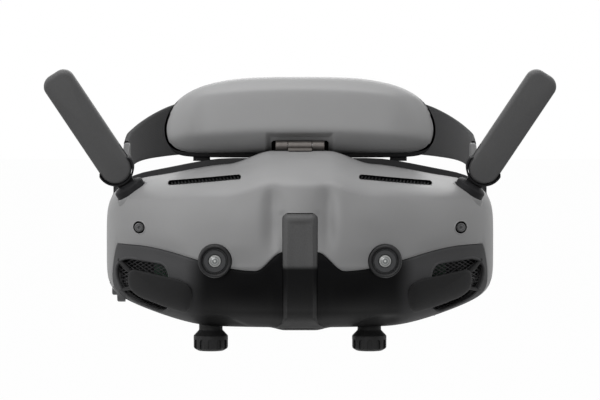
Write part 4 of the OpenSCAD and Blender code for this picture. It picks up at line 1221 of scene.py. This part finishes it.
def frame_outline(off, half=90):
    """Closed outline of the rear frame in front view, off inside the casing: a superellipse of squareness
    5."""
    a = np.linspace(-np.pi / 2, np.pi / 2, half + 1)
    v = np.sign(a) * partner(np.cos(a), 5)
    x = (HALF_W - off) * partner(v, 5)
    top = 36.6 - 3.4 * ease(28, 62, x)
    z = np.where(v > 0, v * (top - off), -v * (bottom_z(x) + off))
    right = np.stack([x, z], -1)
    return np.concatenate([right, right[-2:0:-1] * [-1, 1]])


def swollen(piece, cap_mm, pressure=4.0):
    """Puffs a foam piece by a short cloth simulation on a remeshed copy, with each point's movement
    capped."""
    size = piece.modifiers.new("even", "REMESH")
    size.mode = "VOXEL"
    size.voxel_size = 0.0024
    size.use_smooth_shade = True
    bake_modifiers(piece, 180)
    start = np.array([v.co for v in piece.data.vertices])
    cloth = piece.modifiers.new("cloth", "CLOTH")
    cloth.settings.use_pressure = True
    cloth.settings.uniform_pressure_force = pressure
    cloth.settings.tension_stiffness = 12
    cloth.settings.compression_stiffness = 12
    cloth.settings.bending_stiffness = 2
    cloth.settings.effector_weights.gravity = 0
    cloth.point_cache.frame_start, cloth.point_cache.frame_end = 1, 20
    for step in range(1, 21):
        scene.frame_set(step)
    bake_modifiers(piece, 180)
    moved = np.array([v.co for v in piece.data.vertices]) - start
    reach = np.linalg.norm(moved, axis=1)[:, None]
    capped = start + moved * np.minimum(1, cap_mm * MM / np.maximum(reach, 1e-9))
    piece.data.vertices.foreach_set("co", capped.astype(np.float32).ravel())
    smooth = piece.modifiers.new("smooth", "SUBSURF")
    smooth.levels = smooth.render_levels = 1
    bake_modifiers(piece, 180)
    scene.frame_set(1)


foam_finish = Finish("foam_knit")
knit = foam_finish.cells(0.55)
loft_noise = foam_finish.noise(7, 3)
foam_finish.surface(Base_Color=foam_finish.mix(knit * 0.6 + loft_noise * 0.4, (0.026, 0.026, 0.028),
                                               (0.011, 0.011, 0.012)),
                    Roughness=0.86 + 0.1 * loft_noise, Specular_IOR_Level=0.2, Sheen_Weight=0.2,
                    Normal=foam_finish.bump(knit, 0.10, 0.8))
outside, inside_line = (frame_outline(off) for off in (2.6, 12.4))


def foam_ring(outline, depth):
    """Ring of the seat: the outline at a share of the foam's depth, 0 at the frame and 1 at the face."""
    near, far = face_curve(outline[:, 0], FACE_R + FACE_FOAM), face_curve(outline[:, 0], FACE_R)
    return np.stack([outline[:, 0], near + 0.1 + (far - near - 0.3) * depth, outline[:, 1]], -1)


blend_out = [(0.0, 0.05), (0.02, 0.3), (0.0, 0.6), (0.1, 0.84), (0.28, 0.97), (0.5, 1.0), (0.72, 0.97),
             (0.9, 0.84),
             (1.0, 0.6), (0.98, 0.3), (1.0, 0.05), (0.5, 0.0)]
foam_rings = [foam_ring(outside + (inside_line - outside) * share, depth) for share, depth in blend_out]
foam_points = np.concatenate(foam_rings)
foam_faces = ring_quads(len(foam_rings), len(foam_rings[0]), True).tolist()
face_foam = put_mesh("face_foam", foam_points, foam_faces, foam_finish.material, 0, merge=1e-4)
nose = rounded([(-17.6, -46), (17.6, -46), (7.6, -13), (4.4, -9.4), (-4.4, -9.4), (-7.6, -13)], 2.4)
cut(face_foam, [carried(nose, 1, -70, 30)], sharp=180)
swollen(face_foam, 0.7)
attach(face_foam, "visor")
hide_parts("face_foam")
cushion_outline = drawn_in(tray_outline, 5.5)
cushion_outline[:, 1] += 0.8
cushion_rings = [np.insert(drawn_in(cushion_outline, i), 1, y, axis=1)
                 for i, y in ((3.0, -27.5), (1.0, -27.3), (0.2, -25.6), (0.4, -22.6), (1.8, -19.9),
                              (4.6, -18.2), (9.0, -17.7))]
cushion = put_mesh("forehead_cushion", *loft(cushion_rings), foam_finish.material, 0, merge=1e-4)
swollen(cushion, 0.6)
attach(cushion, "forehead_support")
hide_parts("forehead_foam")

# Two focus knobs of dark moulded plastic hang below the casing, with grip slots all round their barrels.
KNOB_Y = -51.5
knob_finish = Finish("knob_grain")
knob_finish.surface(Base_Color=knob_finish.mix(knob_finish.noise(0.5), (0.014, 0.014, 0.0145),
                                               (0.026, 0.026, 0.0265)),
                    Roughness=0.45 + 0.12 * knob_finish.noise(0.6), Specular_IOR_Level=0.18,
                    Normal=knob_finish.bump(knob_finish.cells(0.4), 0.015, 0.6))
knob_profile = [(0, -41.9), (5.0, -41.9), (5.4, -41.75), (6.5, -41.1), (6.85, -40.75), (7.0, -40.3),
                (7.0, -36.1), (6.9, -35.7),
                (6.6, -35.4), (5.0, -33.7), (4.8, -33.3), (4.8, -29.4), (2.4, -29.4), (2.4, -24.3), (0,
                                                                                                     -24.3)]
for side, name, centre in ((1, "left", 28.2), (-1, "right", -36.3)):
    points, faces = turned(knob_profile, 96)
    knob = put_mesh(f"focus_knob_{name}", points + [centre, KNOB_Y, 0], faces, knob_finish.material, 30,
                    merge=1e-4)
    grips = []
    for turn in np.radians(np.arange(0, 360, 30)):
        arch = slot((0, -45), (0, -38.1), 0.95, 14)
        tip = np.array([[math.cos(turn), math.sin(turn)], [-math.sin(turn), math.cos(turn)]])
        ring = [np.column_stack([np.insert(arch[:, :1], 0, r, axis=1) @ tip + [centre, KNOB_Y], arch[:, 1]])
                for r in (6.35, 9)]
        grips.append(cutter(*loft(ring)))
    cut(knob, grips, sharp=30)
    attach(knob, f"knob_{name}")
    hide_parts(f"focus_knob_{name}")

# A steel-lined USB socket on the left side and a card slot on the right end just inside the casing's skin.
# The keys beside the slot, and the power key in the pad's top, are small moulded caps that stand a little
# out of it.
SOCKET_Z, SOCKET_FLOOR, LINING = -14.6, 71.0, 0.2


def side_at(y, z):
    """Half width of the casing at y and z, read off points of its face that run out to the rim."""
    x = np.linspace(60, HALF_W - 0.1, 400)
    return np.interp(y, face_at(x, z + 0 * x)[:, 1], x)


socket_finish = Finish("socket_steel")
socket_finish.clouded(1.5, (0.16, 0.16, 0.165), (0.24, 0.24, 0.245), 0.38, 0.12, 0.6, Metallic=1.0)
for node, side, ends, radius in (("usb_socket", 1, (-39.7, -33.3), 1.6),
                                 ("card_socket", -1, (-41.6, -31.4), 0.7)):
    rings = []
    for inset, sunk in ((0, None), (0, 0.3), (LINING, 0.3), (LINING, None)):
        outline = slot((ends[0], SOCKET_Z), (ends[1], SOCKET_Z), radius - inset)
        if sunk is None:
            x = np.full(len(outline), SOCKET_FLOOR + inset)
        else:
            x = np.array([side_at(y, z) for y, z in outline]) - sunk
        rings.append(np.column_stack([side * x, outline]))
    socket = put_mesh(f"{node}_lining", *loft(rings), socket_finish.material, 35, merge=1e-4)
    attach(socket, "visor")
    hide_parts(node)
key_finish = Finish("key_plastic")
key_finish.clouded(0.7, (0.05, 0.05, 0.051), (0.075, 0.075, 0.077), 0.4, 0.1, 0.5)
for node, body, y, z, radius in (("five_way_button", "five_way_key", -45, -19.5, 3.0),
                                 ("back_button", "back_key", -35, -18.5, 1.9)):
    top = side_at(y, z) + 0.9
    points, faces = turned([(0, top - 3.2), (radius, top - 3.2), (radius, top - 0.5), (radius - 0.35, top),
                            (0, top - 0.1)], 48)
    key = put_mesh(f"{node}_cap", np.stack([-points[:, 2], points[:, 0] + y, points[:, 1] + z], -1), faces,
                   key_finish.material, 35, merge=1e-4)
    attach(key, body)
    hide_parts(node)
points, faces = turned([(0, 61.8), (2.95, 61.8), (2.95, 66.8), (2.6, 67.2), (0, 67.2)], 48)
key = put_mesh("power_button_cap", points + POWER_KEY, faces, key_finish.material, 35, merge=1e-4)
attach(key, "power_key")
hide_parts("power_button")

# The inner parts keep their engineered shapes with their moulded edges eased: black frames and carriages,
# steel rods and pin, glass lenses and displays, finned aluminium, and the small link key.
def dressed(nodes, material, bevel_mm=0.25):
    """Gives engineered pieces a finish and a small rounding of their sharp edges."""
    for node in nodes:
        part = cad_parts[node]
        part.data.materials.clear()
        part.data.materials.append(material)
        if bevel_mm:
            ease_edges = part.modifiers.new("eased_edges", "BEVEL")
            ease_edges.width = bevel_mm * MM
            ease_edges.segments = 2
            ease_edges.limit_method = "ANGLE"
            ease_edges.angle_limit = math.radians(50)


inner_black = Finish("inner_black")
inner_black.surface(Base_Color=inner_black.mix(inner_black.noise(5, 3), (0.010, 0.010, 0.011),
                                               (0.022, 0.022, 0.023)),
                    Roughness=0.5 + 0.15 * inner_black.noise(0.8), Specular_IOR_Level=0.3,
                    Normal=inner_black.bump(inner_black.cells(0.4), 0.012, 0.5))
steel = Finish("ground_steel")
steel.clouded(2, (0.50, 0.50, 0.51), (0.62, 0.62, 0.63), 0.22, 0.12, 0.6, Metallic=1.0)
metal = Finish("cast_aluminium")
metal.clouded(1.5, (0.36, 0.37, 0.38), (0.5, 0.51, 0.52), 0.36, 0.15, 0.7, Metallic=1.0)
screen = Finish("display_glass")
screen.clouded(9, (0.006, 0.008, 0.012), (0.012, 0.016, 0.024), 0.08, 0.04, 3, Coat_Weight=0.5,
               Coat_Roughness=0.03)
optical = Finish("optical_glass")
rim_shine = optical.node("ShaderNodeLayerWeight", {}, {"Blend": 0.35}, "Facing")
optical.surface(Base_Color=optical.mix(rim_shine, (0.03, 0.035, 0.05), (0.16, 0.20, 0.30)),
                Roughness=0.04 + 0.03 * optical.noise(4), Coat_Weight=1.0, Coat_Roughness=0.02)
dressed(["mask_frame", "eye_plate", "inner_frame", "fan_housing", "fan_rotor", "carriage_left",
         "carriage_right",
         "strap_buckle"], inner_black.material, 0.3)
dressed(["barrel_left", "barrel_right"], inner_black.material, 0.3)
dressed(["guide_rods", "hinge_pin"], steel.material, 0.1)
dressed(["heat_sink"], metal.material, 0.12)
dressed(["display_left", "display_right", "face_sensor"], screen.material, 0.15)
dressed(["eye_lens_left", "eye_lens_right"], optical.material, 0)
dressed(["link_button"], key_finish.material, 0.35)
